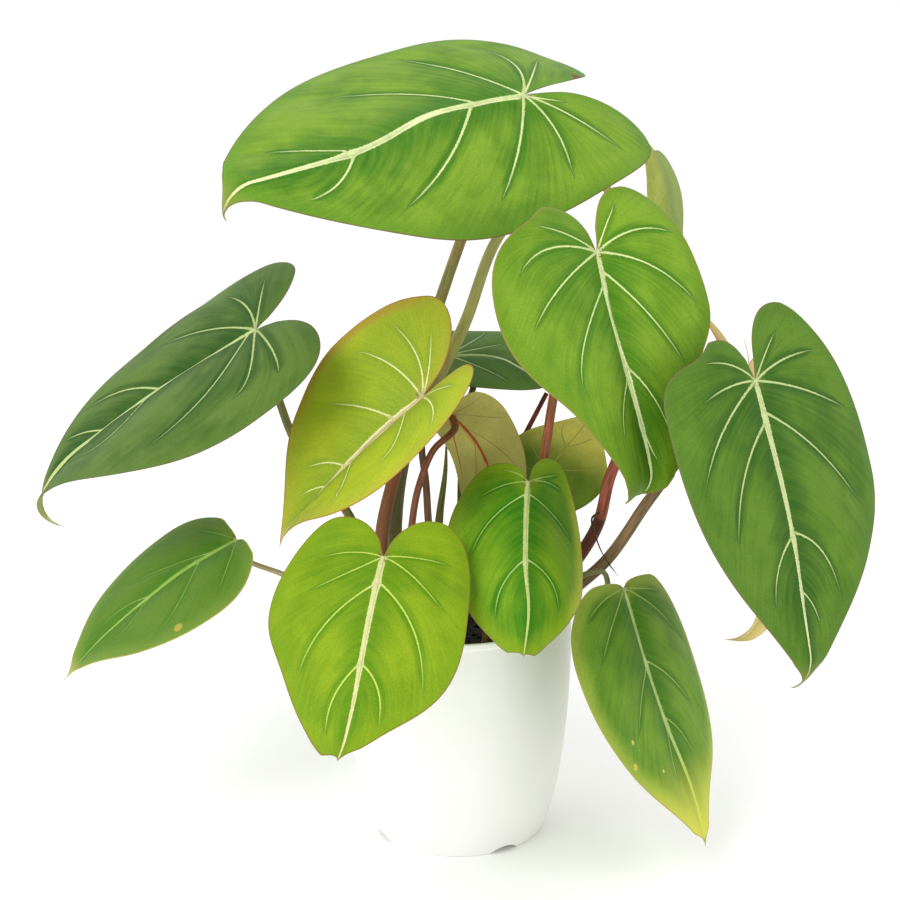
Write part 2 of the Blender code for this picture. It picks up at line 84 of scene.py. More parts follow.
def tintWhere(skin, colour, value, start, end, hexCode, most=1.0, blend="SMOOTHSTEP"):
    # lays a second colour over the one so far, where a value passes from start to end
    share = addNode(skin, "MapRange", {
        "interpolation_type": blend, "Value": value, "From": (start, end), "To": (0, most)})
    return addNode(skin, "Mix", {"data_type": "RGBA", 0: share, 6: colour, 7: hexCode})


def finishSkin(skin, values):
    # values: what the nodes give the shader
    linkTo(skin, skin.node_tree.nodes["Principled BSDF"], values)
    return skin


def addObject(name, data):
    item = bpy.data.objects.new(name, data)
    bpy.context.scene.collection.objects.link(item)
    return item


def finishPiece(piece, node, crease):
    piece.data.polygons.foreach_set("use_smooth", [True] * len(piece.data.polygons))
    piece.data.set_sharp_from_angle(angle=math.radians(crease))
    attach(piece, "root")
    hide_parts(node)


def addPiece(name, node, slotName, points, faces, skins, fields=None, faceSkins=None, crease=50):
    # points in mm, fields: attribute name -> one vector for each point
    mesh = bpy.data.meshes.new(name)
    mesh.from_pydata((np.asarray(points) * mm).tolist(), [], faces)
    for fieldName, values in (fields or {}).items():
        attribute = mesh.attributes.new(fieldName, "FLOAT_VECTOR", "POINT")
        attribute.data.foreach_set("vector", np.asarray(values, np.float32).ravel())
    for skin in skins:
        mesh.materials.append(skin)
    if faceSkins is not None:
        mesh.polygons.foreach_set("material_index", np.asarray(faceSkins, np.int32))
    finishPiece(addObject(name, mesh), node, crease)


def smoothPath(points, spacing):
    # a Hermite curve through the points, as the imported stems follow
    points = [np.asarray(p, float) for p in points]
    gaps = [np.linalg.norm(b - a) for a, b in zip(points, points[1:])]
    slopes = [(points[1] - points[0]) / gaps[0]]
    for i in range(1, len(points) - 1):
        before = (points[i] - points[i - 1]) / gaps[i - 1]
        after = (points[i + 1] - points[i]) / gaps[i]
        slopes.append((before * gaps[i] + after * gaps[i - 1]) / (gaps[i - 1] + gaps[i]))
    slopes.append((points[-1] - points[-2]) / gaps[-1])
    path = [points[0]]
    for i, gap in enumerate(gaps):
        steps = max(1, round(gap / spacing))
        for k in range(1, steps + 1):
            t = k / steps
            ease = 3 * t ** 2 - 2 * t ** 3
            leave = (t ** 3 - 2 * t ** 2 + t) * gap
            arrive = (t ** 3 - t ** 2) * gap
            middle = (1 - ease) * points[i] + ease * points[i + 1]
            path.append(middle + leave * slopes[i] + arrive * slopes[i + 1])
    return np.array(path)


def tubeAlong(path, radii, sides, up, flatten=1.0, twist=0.0):
    # rings round a path with closed ends; returns points, faces and (across, across, along) in mm
    path = np.asarray(path, float)
    tangents = np.gradient(path, axis=0)
    tangents /= np.linalg.norm(tangents, axis=1)[:, None]
    sideways = np.cross(tangents, up)
    sideways /= np.linalg.norm(sideways, axis=1)[:, None]
    over = np.cross(sideways, tangents)
    run = np.concatenate([[0], np.cumsum(np.linalg.norm(np.diff(path, axis=0), axis=1))])
    turns = np.linspace(0, 2 * math.pi, sides, endpoint=False)[None, :] + twist * run[:, None]
    radii = np.broadcast_to(np.reshape(radii, (len(path), -1)), (len(path), sides))
    acrossPart = np.cos(turns) * radii
    upPart = np.sin(turns) * (radii * np.reshape(flatten, (-1, 1)))
    rings = path[:, None, :] + acrossPart[..., None] * sideways[:, None, :]
    rings = rings + upPart[..., None] * over[:, None, :]
    points = np.concatenate([rings.reshape(-1, 3), path[:1], path[-1:]])
    place = np.stack([acrossPart.ravel(), upPart.ravel(), np.repeat(run, sides)], -1)
    place = np.concatenate([place, [[0, 0, 0]], [[0, 0, run[-1]]]])
    first = np.arange(len(path) - 1)[:, None] * sides
    now = np.arange(sides)[None, :]
    after = (now + 1) % sides
    walls = np.stack([first + now, first + after, first + sides + after, first + sides + now], -1)
    faces = walls.reshape(-1, 4).tolist()
    last, startCap = (len(path) - 1) * sides, len(points) - 2
    for k in range(sides):
        faces.append([startCap, (k + 1) % sides, k])
        faces.append([startCap + 1, last + k, last + (k + 1) % sides])
    return points, faces, place


def mergeParts(parts):
    # joins (points, faces, fields...) tuples into one set
    points, faces, fields, offset = [], [], [[] for _ in parts[0][2:]], 0
    for part in parts:
        points.append(part[0])
        faces += [[i + offset for i in face] for face in part[1]]
        for kept, values in zip(fields, part[2:]):
            kept.append(values)
        offset += len(part[0])
    return [np.concatenate(points), faces] + [np.concatenate(values) for values in fields]


# Pot

potSizes = {  # mm and degrees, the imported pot's own sizes
    "rim": 75.0, "height": 150.0, "foot": 54.0, "wall": 1.8, "bulge": (2.25, 1.38),
    "bandHeight": 4.0, "bandStep": 1.2, "lip": 0.9, "floorTop": 5.4, "floorBottom": 3.0,
    "footWidth": 3.5, "pad": 20.0, "steps": 144, "crease": 32,
    "drains": 6, "drainRing": 34.0, "drainRadius": 4.0, "drainDepth": 14.0,
    "archRadius": 14.6, "archDrop": 10.6, "archDepth": 12.0, "archOut": 2.5,
    "archAngles": (-59, -155, 121, 25),
}


def wallRadius(height):
    power, root = potSizes["bulge"]
    fall = 1.0 - height / potSizes["height"]
    return potSizes["foot"] + (potSizes["rim"] - potSizes["foot"]) * (1.0 - fall ** power) ** (1.0 / root)


def innerRadius(height):
    return wallRadius(height) * (1 - potSizes["bandStep"] / potSizes["rim"]) - potSizes["wall"]


def potProfile():
    # (radius, height) in mm: floor inside, inner wall, lip, band, outer wall, foot ring, floor below, pad
    rim, top, wall, lip = (potSizes[key] for key in ("rim", "height", "wall", "lip"))
    floorTop, floorBottom, pad = (potSizes[key] for key in ("floorTop", "floorBottom", "pad"))
    body = rim - potSizes["bandStep"]
    levels = np.concatenate([np.linspace(top - 6.0, 20.0, 22), np.linspace(16.0, 3.0, 7)])
    outside = [(wallRadius(z) * body / rim, z) for z in levels]
    inside = [(r - wall, z) for r, z in outside if z > floorTop + 4.0]
    corner = inside[-1][0] - 2.0
    profile = [(0.0, floorTop), (corner - 3.0, floorTop), (corner - 0.8, floorTop + 0.7)]
    profile += [(corner, floorTop + 2.0)] + inside[::-1] + [(rim - wall - 1.0, top - 1.0)]
    for step in range(7):  # rolled lip
        angle = math.pi - math.pi * step / 6
        profile.append((rim - lip + lip * math.cos(angle) - 0.02, top - lip + lip * math.sin(angle)))
    low = top - potSizes["bandHeight"]
    profile += [(rim, top - 2.2), (rim, low + 0.5), (rim - 0.2, low + 0.1)]
    profile += [(body + 0.2, low - 0.3), (body, low - 0.8)] + outside
    foot = outside[-1][0]
    inner = foot - potSizes["footWidth"]
    profile += [(foot - 0.5, 1.4), (foot - 1.0, 0.3), (foot - 1.6, 0.0), (inner, 0.0)]
    profile += [(inner - 0.8, floorBottom), (pad + 0.8, floorBottom), (pad, 0.0), (0.0, 0.0)]
    return profile


def turnedMesh(name, profile, steps):
    # turns a profile of (radius, height) in mm round the upright axis
    work = bmesh.new()
    rings = []
    for radius, height in profile:
        if radius < 0.001:
            rings.append([work.verts.new((0, 0, height * mm))])
            continue
        turns = [2 * math.pi * k / steps for k in range(steps)]
        rings.append([work.verts.new((radius * mm * math.cos(a), radius * mm * math.sin(a), height * mm))
                      for a in turns])
    for low, high in zip(rings, rings[1:]):
        for k in range(steps):
            after = (k + 1) % steps
            corners = [low[k % len(low)], low[after % len(low)], high[after % len(high)], high[k % len(high)]]
            work.faces.new(list(dict.fromkeys(corners)))
    bmesh.ops.recalc_face_normals(work, faces=work.faces[:])
    mesh = bpy.data.meshes.new(name)
    work.to_mesh(mesh)
    work.free()
    return addObject(name, mesh)


def cutRound(item, radius, depth, matrix, steps=32):
    # cuts a round hole whose axis is the upright one of the matrix
    half = depth / 2
    tool = turnedMesh("cutter", [(0, -half), (radius, -half), (radius, half), (0, half)], steps)
    tool.matrix_world = matrix
    cutting = item.modifiers.new("cut", "BOOLEAN")
    cutting.operation = "DIFFERENCE"
    cutting.solver = "EXACT"
    cutting.object = tool
    bpy.context.view_layer.update()
    with bpy.context.temp_override(object=item, active_object=item, selected_objects=[item]):
        bpy.ops.object.modifier_apply(modifier=cutting.name)
    bpy.data.objects.remove(tool, do_unlink=True)


def mouldedPolypropylene():
    # white polypropylene, injection moulded: satin, a little soft inside, faint flow lines and fine grain
    skin = newSkin("white moulded polypropylene", {
        "IOR": 1.49, "Roughness": 0.36, "Subsurface Weight": 0.12, "Subsurface Scale": 0.004,
        "Subsurface Radius": (1.0, 0.95, 0.88)})
    place = addNode(skin, "TexCoord", {}).outputs["Object"]
    # flow lines about 70 mm apart; grain under 1 mm, as fine as it shows
    flow = addNode(skin, "TexNoise", {"Vector": place, "Scale": 14.0, "Detail": 3.0, "Roughness": 0.55})
    grain = addNode(skin, "TexNoise", {"Vector": place, "Scale": 1400.0, "Detail": 2.0})
    return finishSkin(skin, {
        "Base Color": tintWhere(skin, "EEEEEA", flow, 0.3, 0.7, "F2F2EF", blend="LINEAR"),
        "Roughness": addNode(skin, "MapRange", {"Value": flow, "To": (0.32, 0.42)}),
        "Normal": addNode(skin, "Bump", {"Strength": 0.12, "Distance": 0.0002, "Height": grain})})


def makePot():
    pot = turnedMesh("nurseryPot", potProfile(), potSizes["steps"])
    for number in range(potSizes["drains"]):
        angle = 2 * math.pi * (number + 0.5) / potSizes["drains"]
        out = potSizes["drainRing"] * mm
        place = Matrix.Translation((out * math.cos(angle), out * math.sin(angle), 4 * mm))
        cutRound(pot, potSizes["drainRadius"], potSizes["drainDepth"], place)
    across = Matrix.Rotation(math.pi / 2, 4, "Y")
    drop = Matrix.Translation(((potSizes["foot"] + potSizes["archOut"]) * mm, 0, -potSizes["archDrop"] * mm))
    for degrees in potSizes["archAngles"]:
        turn = Matrix.Rotation(math.radians(degrees), 4, "Z")
        cutRound(pot, potSizes["archRadius"], potSizes["archDepth"], turn @ drop @ across, 96)
    pot.data.materials.append(mouldedPolypropylene())
    finishPiece(pot, "pot", potSizes["crease"])


makePot()
print("pot done")


# Blades

evenEdge = ((0, 0, 0, 0), (0, 0, 0, 0))
blades = {  # mm and degrees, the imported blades' own sizes and places
    1: dict(at=(47, 20, 470), yaw=-50, dip=8, roll=31, droop=-3, sway=2, fold=14, cup=10, sag=9, hang=140,
            length=247, halves=(80, 111), lobes=(85, 103), belly=(.24, .17), full=(.46, .43), tip=.13,
            wave=2.0, swell=((-2.5, 2.5, -3.5, 3.5), (-0.5, 3, -2, 5.5))),
    2: dict(at=(-123, 30, 325), yaw=-99, dip=30, roll=19, droop=32, sway=0, fold=-12, cup=31, sag=14,
            hang=103, length=223, halves=(108, 101), lobes=(45, 26), belly=(.14, .27), full=(.39, .44),
            tip=.19, wave=2.0, swell=((4, 0, -1, -2.5), (2, 0.5, -3.5, 7))),
    3: dict(at=(-18, -30, 294), yaw=-87, dip=41, roll=29, droop=20, sway=-6, fold=-29, cup=20, sag=-7,
            hang=28, length=137, halves=(57, 65), lobes=(35, 49), belly=(.18, .21), full=(.51, .43), tip=.15,
            wave=1.6, swell=((5.5, 3, 4, 0), (-2.5, 9, 0, -1.5))),
    4: dict(at=(86, -62, 387), yaw=25, dip=63, roll=17, droop=4, sway=4, fold=-18, cup=26, sag=14, hang=101,
            length=154, halves=(76, 87), lobes=(43, 34), belly=(.25, .26), full=(.35, .52), tip=.10, wave=2.4,
            swell=((0.5, 0.5, -7.5, 1.5), (-13, 9.5, -0.5, 12))),
    5: dict(at=(179, -70, 310), yaw=24, dip=61, roll=20, droop=17, sway=2, fold=-1, cup=6, sag=1, hang=77,
            length=192, halves=(91, 80), lobes=(57, 36), belly=(.31, .15), full=(.44, .46), tip=.13, wave=2.6,
            swell=((-10, 7.5, -2, 2.5), (-20, 0.5, 9, 3))),
    6: dict(at=(-138, 0, 196), yaw=-75, dip=28, roll=8, droop=21, sway=5, fold=-7, cup=18, sag=8, hang=-3,
            length=141, halves=(62, 62), lobes=(7, 2), belly=(.33, .29), full=(.49, .52), tip=.10, wave=1.2,
            swell=((-4.5, 3.5, 0.5, -0.5), (-3.5, 2, 1.5, -1.5))),
    7: dict(at=(-42, -112, 219), yaw=-8, dip=28, roll=3, droop=12, sway=-4, fold=5, cup=16, sag=-7, hang=-37,
            length=150, halves=(57, 61), lobes=(30, 33), belly=(.29, .23), full=(.51, .42), tip=.08, wave=1.8,
            swell=((2.5, -2, 0.5, -1), (-2.5, 4, -1.5, 5))),
    8: dict(at=(45, -54, 246), yaw=-3, dip=30, roll=9, droop=9, sway=-1, fold=27, cup=21, sag=-5, hang=-28,
            length=135, halves=(44, 56), lobes=(30, 23), belly=(.39, .21), full=(.50, .46), tip=.07, wave=1.8,
            swell=((-1, 6, 0, 0.5), (-2, 1.5, -2, 2))),
    9: dict(at=(104, -42, 173), yaw=37, dip=65, roll=21, droop=-4, sway=3, fold=-7, cup=24, sag=9, hang=6,
            length=165, halves=(68, 69), lobes=(8, 6), belly=(.24, .30), full=(.60, .51), tip=.06, wave=1.4,
            swell=((-5.5, 3.5, 4, -3), (-1, 2.5, 0.5, -0.5))),
    10: dict(at=(-2, 70, 297), yaw=96, dip=1, roll=-13, droop=29, sway=-4, fold=1, cup=6, sag=9, hang=20,
             length=110, halves=(47, 42), lobes=(30, 33), belly=(.21, .34), full=(.47, .55), tip=.11,
             wave=1.6, swell=evenEdge),
    11: dict(at=(-2, -20, 281), yaw=129, dip=46, roll=56, droop=16, sway=39, fold=-9, cup=1, sag=9, hang=0,
             length=112, halves=(15, 29), lobes=(4, 2), belly=(.16, .22), full=(.49, .43), tip=.08, wave=0.8,
             swell=evenEdge),
    12: dict(at=(58, 45, 223), yaw=61, dip=-53, roll=53, droop=26, sway=-1, fold=5, cup=19, sag=6, hang=52,
             length=61, halves=(38, 36), lobes=(19, 20), belly=(.17, .25), full=(.46, .48), tip=.11, wave=0.8,
             swell=evenEdge),
    13: dict(at=(128, 85, 380), yaw=79, dip=94, roll=7, droop=18, sway=0, fold=-30, cup=5, sag=8, hang=0,
             length=108, halves=(55, 47), lobes=(43, 54), belly=(.18, .22), full=(.48, .48), tip=.12,
             wave=1.2, swell=evenEdge),
    14: dict(at=(186, 16, 284), yaw=48, dip=71, roll=25, droop=42, sway=-26, fold=-15, cup=25, sag=11,
             hang=70, length=174, halves=(56, 60), lobes=(17, 50), belly=(.30, .28), full=(.50, .48), tip=.10,
             wave=1.4, swell=evenEdge),
}

bladeMake = {
    "thickness": 0.55, "marginThickness": 0.3,  # mm
    "packedThickness": 0.9, "stalkGap": 0.3,  # mm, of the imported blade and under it
    "outlineSteps": (2, 5, 6, 3), "sinusStart": 0.3, "seed": 11, "crease": 60,
    "cell": 2.3,             # mm, wanted size of one mesh cell
    "ripples": 2.5,          # waves of the margin round one half
    "quilt": 0.032,          # rise between two veins, share of their distance
    "calm": (12, 10),        # mm from the margin and from the midrib where the quilt is low
    "groove": (0.5, 3.0),    # mm, depth and width of the furrow along the midrib
    "sinking": (0.25, 1.8),  # mm, depth and width of the veins' furrows in the upper side
    "thinning": 3.0,         # mm from the margin where the blade grows thinner
    "ribShare": 0.6,         # radius of the midrib's ridge, share of the midrib's half width
    "ridgeShare": 0.9,       # radius of a vein's ridge, share of the vein's half width
}

# The run of the veins. rib: sideways bow of the midrib in mm, at a quarter, half and three quarters of it.
# veins: start on the midrib in % of the length; middle and end, in % of the half's width and of the length;
# strength. A negative width is on the second half. Each half runs from the back lobe to the tip.
hiddenVeins = [
    (start, side * x, v, side * endX, endV, strength) for side in (-1, 1)
    for start, x, v, endX, endV, strength in (
        (0, 28, -9, 58, -20, .7), (0, 44, 1, 84, 6, .9), (10, 44, 24, 68, 44, 1), (44, 22, 58, 30, 72, .8))]
bladeVeins = {
    1: dict(rib=(-8.5, 2.5, 2.5), veins=(
        (0, -17, -10, -51, -28, .7), (0, -38, -13, -71, -14, .8), (0, -46, 3, -88, 9, 1),
        (13, -38, 24, -60, 42, 1), (56, -10, 64, -21, 74, .7), (0, 7, -4, 16, -12, .5),
        (0, 29, -10, 67, -20, .9), (0, 37, -2, 80, 2, 1), (0, 43, 12, 78, 26, 1),
        (15, 34, 33, 60, 53, 1), (55, 25, 65, 30, 76, .8))),
    2: dict(rib=(3.5, 2.5, -6.5), veins=(
        (0, -27, -2, -59, -3, .8), (0, -32, 3, -68, 12, .9), (0, -31, 17, -54, 37, 1),
        (33, -24, 48, -39, 65, 1), (56, -14, 64, -27, 74, .6), (0, 46, -8, 71, -9, .9),
        (0, 53, -1, 72, 6, 1), (2, 53, 13, 72, 37, 1), (38, 25, 50, 11, 67, .9))),
    3: dict(rib=(-1.5, 0.5, 2.5), veins=(
        (0, -17, -11, -45, -24, .9), (0, -36, -10, -83, -9, 1), (0, -46, 2, -86, 12, 1),
        (16, -32, 24, -62, 37, 1), (47, -16, 53, -27, 63, .9), (60, -6, 65, -12, 74, .6),
        (0, 6, -8, 14, -17, .5), (0, 27, -10, 57, -17, .9), (0, 56, -3, 87, 4, .9),
        (10, 54, 19, 62, 32, .9), (43, 48, 49, 68, 59, .8))),
    4: dict(rib=(-1.5, 1, 2), veins=(
        (0, -36, -6, -66, -8, .8), (0, -57, 1, -87, 12, 1), (0, -52, 15, -85, 32, 1),
        (13, -43, 37, -54, 55, .9), (50, -17, 63, -23, 75, .7), (0, 16, -11, 36, -21, .5),
        (0, 42, -8, 85, -6, 1), (0, 50, 8, 88, 25, 1), (7, 33, 26, 61, 49, 1),
        (45, 19, 60, 26, 79, .9), (68, 5, 76, 8, 83, .6))),
    5: dict(rib=(0, 0, -2.5), veins=(
        (0, -24, -5, -56, -5, .8), (0, -32, 2, -63, 7, .8), (0, -51, 16, -83, 33, 1),
        (13, -41, 31, -63, 52, 1), (49, -23, 59, -31, 71, .8), (0, 17, -9, 35, -17, .5),
        (0, 34, -7, 69, -10, 1), (0, 48, 3, 94, 10, 1), (10, 46, 23, 82, 42, 1),
        (48, 26, 55, 36, 70, .9), (66, 9, 71, 13, 77, .5))),
    6: dict(rib=(-3, -1, -0.5), veins=(
        (0, -35, 7, -66, 14, .4), (11, -27, 32, -52, 56, .9), (46, -15, 60, -14, 74, .5),
        (0, 41, 9, 84, 22, .5), (19, 53, 38, 69, 54, .7), (46, 22, 61, 22, 73, .4))),
    7: dict(rib=(-1, -0.5, 0.5), veins=(
        (0, -33, -3, -67, -1, .6), (0, -31, 8, -72, 17, .8), (14, -44, 36, -58, 64, 1),
        (54, -19, 70, -17, 88, .9), (0, 34, -2, 73, -2, .7), (0, 34, 8, 74, 24, .8),
        (13, 45, 35, 65, 65, 1), (54, 23, 66, 28, 83, .9))),
    8: dict(rib=(-1, -0.5, 2.5), veins=(
        (0, -14, -7, -36, -12, .5), (0, -32, -2, -65, 1, .8), (7, -45, 18, -69, 37, 1),
        (46, -28, 59, -32, 78, 1), (0, 28, -8, 63, -16, .6), (0, 35, -6, 67, -5, .8),
        (7, 49, 12, 94, 21, 1), (46, 44, 52, 57, 68, 1))),
    9: dict(rib=(-1, 0.5, 4), veins=(
        (0, -47, 3, -75, 10, .5), (0, -44, 13, -73, 25, .8), (30, -30, 41, -53, 54, .8),
        (53, -10, 66, -13, 77, .4), (0, 31, 2, 75, 5, .4), (0, 44, 11, 85, 26, .9),
        (28, 31, 37, 60, 51, 1), (50, 22, 59, 30, 71, .4))),
    10: dict(rib=(-2, -24, -14), veins=(
        (0, -54, 23, -85, 34, .6), (48, -80, 58, -85, 68, .6), (0, 30, -6, 70, -4, .7),
        (0, 55, 19, 95, 27, .8), (0, 23, 22, 38, 37, 1), (45, 20, 62, 35, 74, .6))),
    11: dict(rib=(-2.5, -3, -1.5), veins=(
        (0, -40, 4, -85, 4, .4), (0, -53, 16, -90, 24, .4), (14, -42, 36, -72, 54, .5),
        (40, -24, 58, -34, 72, .4), (0, 61, 22, 98, 50, 1), (25, 40, 50, 55, 66, .4))),
    12: dict(rib=(1.4, 1.4, 1), veins=hiddenVeins),
    13: dict(rib=(0, 0, 0), veins=hiddenVeins),
    14: dict(rib=(1, -1, -1), veins=hiddenVeins),
}


def cubicLine(p0, p1, p2, p3, steps, start=0.0):
    t = np.linspace(start, 1.0, steps + 1)[:, None]
    p0, p1, p2, p3 = (np.asarray(p, float) for p in (p0, p1, p2, p3))
    return (1 - t) ** 3 * p0 + 3 * t * (1 - t) ** 2 * p1 + 3 * t * t * (1 - t) * p2 + t ** 3 * p3


def halfOutline(blade, side, steps):
    # margin of one half, flat, in mm across and along: back lobe, broadest part, shoulder, tip
    length, width, lobe = blade["length"], blade["halves"][side], blade["lobes"][side]
    wide = blade["belly"][side] * length
    pointLength = blade["tip"] * length
    shoulder = np.array([0.10 * width + 4.0, length - pointLength])
    back = np.array([0.50 * width, -lobe])
    broad = np.array([width, wide])
    run = shoulder[1] - broad[1]
    slope = np.array([-1.0, 1.25]) / math.hypot(1.0, 1.25)
    sinus = cubicLine((0, 0), (0.02 * width, -0.35 * lobe), back - (0.34 * width, -0.02 * lobe), back,
                      steps[0], bladeMake["sinusStart"])
    low = cubicLine(back, back + (0.33 * width, 0), broad - (0, 0.55 * (wide + lobe)), broad, steps[1])
    fullness = (0, blade["full"][side] * run)
    high = cubicLine(broad, broad + fullness, shoulder - slope * 0.42 * run, shoulder, steps[2])
    point = cubicLine(shoulder, shoulder + slope * 0.25 * pointLength, (0, length - 0.5 * pointLength),
                      (0, length), steps[3])
    edge = np.concatenate([sinus, low[1:], high[1:], point[1:]])
    share = np.linspace(0, 1, len(edge))[:, None]
    humps = 0.5 + 0.5 * np.cos(math.pi * np.clip((share - (0.2, 0.4, 0.6, 0.8)) / 0.2, -1, 1))
    away = edge - (0.0, 0.3 * length)
    away /= np.linalg.norm(away, axis=1)[:, None]
    return edge + away * (humps @ np.array(blade["swell"][side], float))[:, None]


def midribFrames(blade, count=120):
    # run of the midrib in the blade's own axes: reach, points, and the directions along, across and up
    s = np.linspace(0.0, 1.0, count)
    down = math.radians(blade["droop"]) * s ** 2
    down += math.radians(blade["hang"]) * np.clip((s - 0.85) / 0.15, 0, 1)
    turn = math.radians(blade["sway"]) * s
    along = np.stack([np.sin(turn) * np.cos(down), np.cos(turn) * np.cos(down), -np.sin(down)], -1)
    side = np.stack([np.cos(turn), -np.sin(turn), np.zeros(count)], -1)
    up = np.cross(side, along)
    step = blade["length"] / (count - 1)
    points = np.concatenate([np.zeros((1, 3)), np.cumsum((along[1:] + along[:-1]) / 2 * step, axis=0)])
    return s * blade["length"], points, along, side, up


def bladeAxes(blade):
    # the blade's own axes in the shared frame: across, along and up
    yaw, dip, roll = (math.radians(blade[key]) for key in ("yaw", "dip", "roll"))
    along = np.array([math.sin(yaw) * math.cos(dip), -math.cos(yaw) * math.cos(dip), -math.sin(dip)])
    level = np.array([math.cos(yaw), math.sin(yaw), 0.0])
    up = np.cross(along, level)
    side = level * math.cos(roll) - up * math.sin(roll)
    return np.stack([side, along, np.cross(along, side)])


def bend(blade, side, flat, lift=0.0):
    # flat points of one half, in mm from the junction, to their places in space
    sign = 1.0 if side == 0 else -1.0
    reach, points, along, across, up = midribFrames(blade)
    v = np.clip(flat[:, 1], 0, blade["length"])
    at = [np.stack([np.interp(v, reach, line[:, i]) for i in range(3)], -1) for line in (points, across, up)]
    fold = math.radians(blade["fold"])
    bow = math.radians(blade["cup"]) / blade["halves"][side] + 1e-7
    x = flat[:, 0]
    out = (np.sin(fold + bow * x) - math.sin(fold)) / bow
    rise = (np.cos(fold + bow * x) - math.cos(fold)) / bow
    behind = np.minimum(flat[:, 1], 0.0)
    place = at[0] + sign * out[:, None] * at[1] + (rise + lift)[:, None] * at[2]
    place += behind[:, None] * along[0]
    place -= (behind ** 2 / (0.25 * blade["length"]) * math.tan(math.radians(blade["sag"])))[:, None] * up[0]
    return place @ bladeAxes(blade) + np.array(blade["at"], float)


def marginPlace(outline, flat):
    # share of the margin and reach towards it of flat points, seen from the junction
    angles = np.arctan2(outline[:, 1], outline[:, 0])
    angle = np.arctan2(flat[:, 1], flat[:, 0] + 1e-9)
    share = np.interp(angle, angles, np.linspace(0, 1, len(outline)))
    edge = np.interp(angle, angles, np.hypot(outline[:, 0], outline[:, 1]))
    return share, np.clip(np.hypot(flat[:, 0], flat[:, 1]) / edge, 0, 1)


def waveLift(blade, phase, share, reach):
    ripple = np.sin(2 * math.pi * bladeMake["ripples"] * share + phase)
    return blade["wave"] * reach ** 3 * (ripple * np.sqrt(np.clip(np.sin(math.pi * share), 0, 1)))


def ribSide(number, v):
    # sideways place of the midrib: a smooth line through its quarter points
    length = blades[number]["length"]
    bows = (0, *bladeVeins[number]["rib"], 0)
    line = smoothPath([(bow, k * length / 4, 0) for k, bow in enumerate(bows)], length / 40)
    return np.interp(v, line[:, 1], line[:, 0])


def ribHalfWidth(number, v):
    # broad at the stalk, narrow at the tip, wider where a side vein leaves
    blade = blades[number]
    share = np.clip(v / blade["length"], 0, 1)
    width = (0.5 + blade["length"] / 135) * (1 - share ** 1.8) ** 0.9 + 0.22
    for start in {row[0] for row in bladeVeins[number]["veins"] if row[0] > 5}:
        width = width + 0.4 * np.exp(-((share - start / 100 - 0.01) / 0.025) ** 2)
    return width


def veinLine(number, row, count=26):
    # a side vein, mm: starts on the midrib, bends through its middle to its end
    blade = blades[number]
    first = row[0] / 100 * blade["length"]
    points = [np.array([ribSide(number, first), first])]
    for x, v in (row[1:3], row[3:5]):
        points.append(np.array([x / 100 * blade["halves"][0 if x > 0 else 1], v / 100 * blade["length"]]))
    control = 2 * points[1] - 0.5 * (points[0] + points[2])
    t = np.linspace(0, 1, count)[:, None]
    return (1 - t) ** 2 * points[0] + 2 * t * (1 - t) * control + t ** 2 * points[2]


def veinHalfWidth(number, share, strength):
    start = (0.3 + blades[number]["length"] / 520) * (0.55 + 0.45 * strength)
    wide = start * (1 - 0.5 * share + 0.7 * np.exp(-share / 0.05))
    return wide * np.clip((1.0 - share) / 0.2, 0.03, 1)


def lineDistance(flat, line):
    # distance to a line, side of it (left of its run is positive), share of the line at the nearest point
    best = np.full(len(flat), 1e9)
    side = np.ones(len(flat))
    share = np.zeros(len(flat))
    for i in range(len(line) - 1):
        run = line[i + 1] - line[i]
        offset = flat - line[i]
        t = np.clip(offset @ run / (run @ run), 0, 1)
        gap = offset - t[:, None] * run
        distance = np.hypot(gap[:, 0], gap[:, 1])
        closer = distance < best
        best[closer] = distance[closer]
        side[closer] = np.where(run[0] * offset[:, 1] - run[1] * offset[:, 0] >= 0, 1.0, -1.0)[closer]
        share[closer] = ((i + t) / (len(line) - 1))[closer]
    return best, side, share


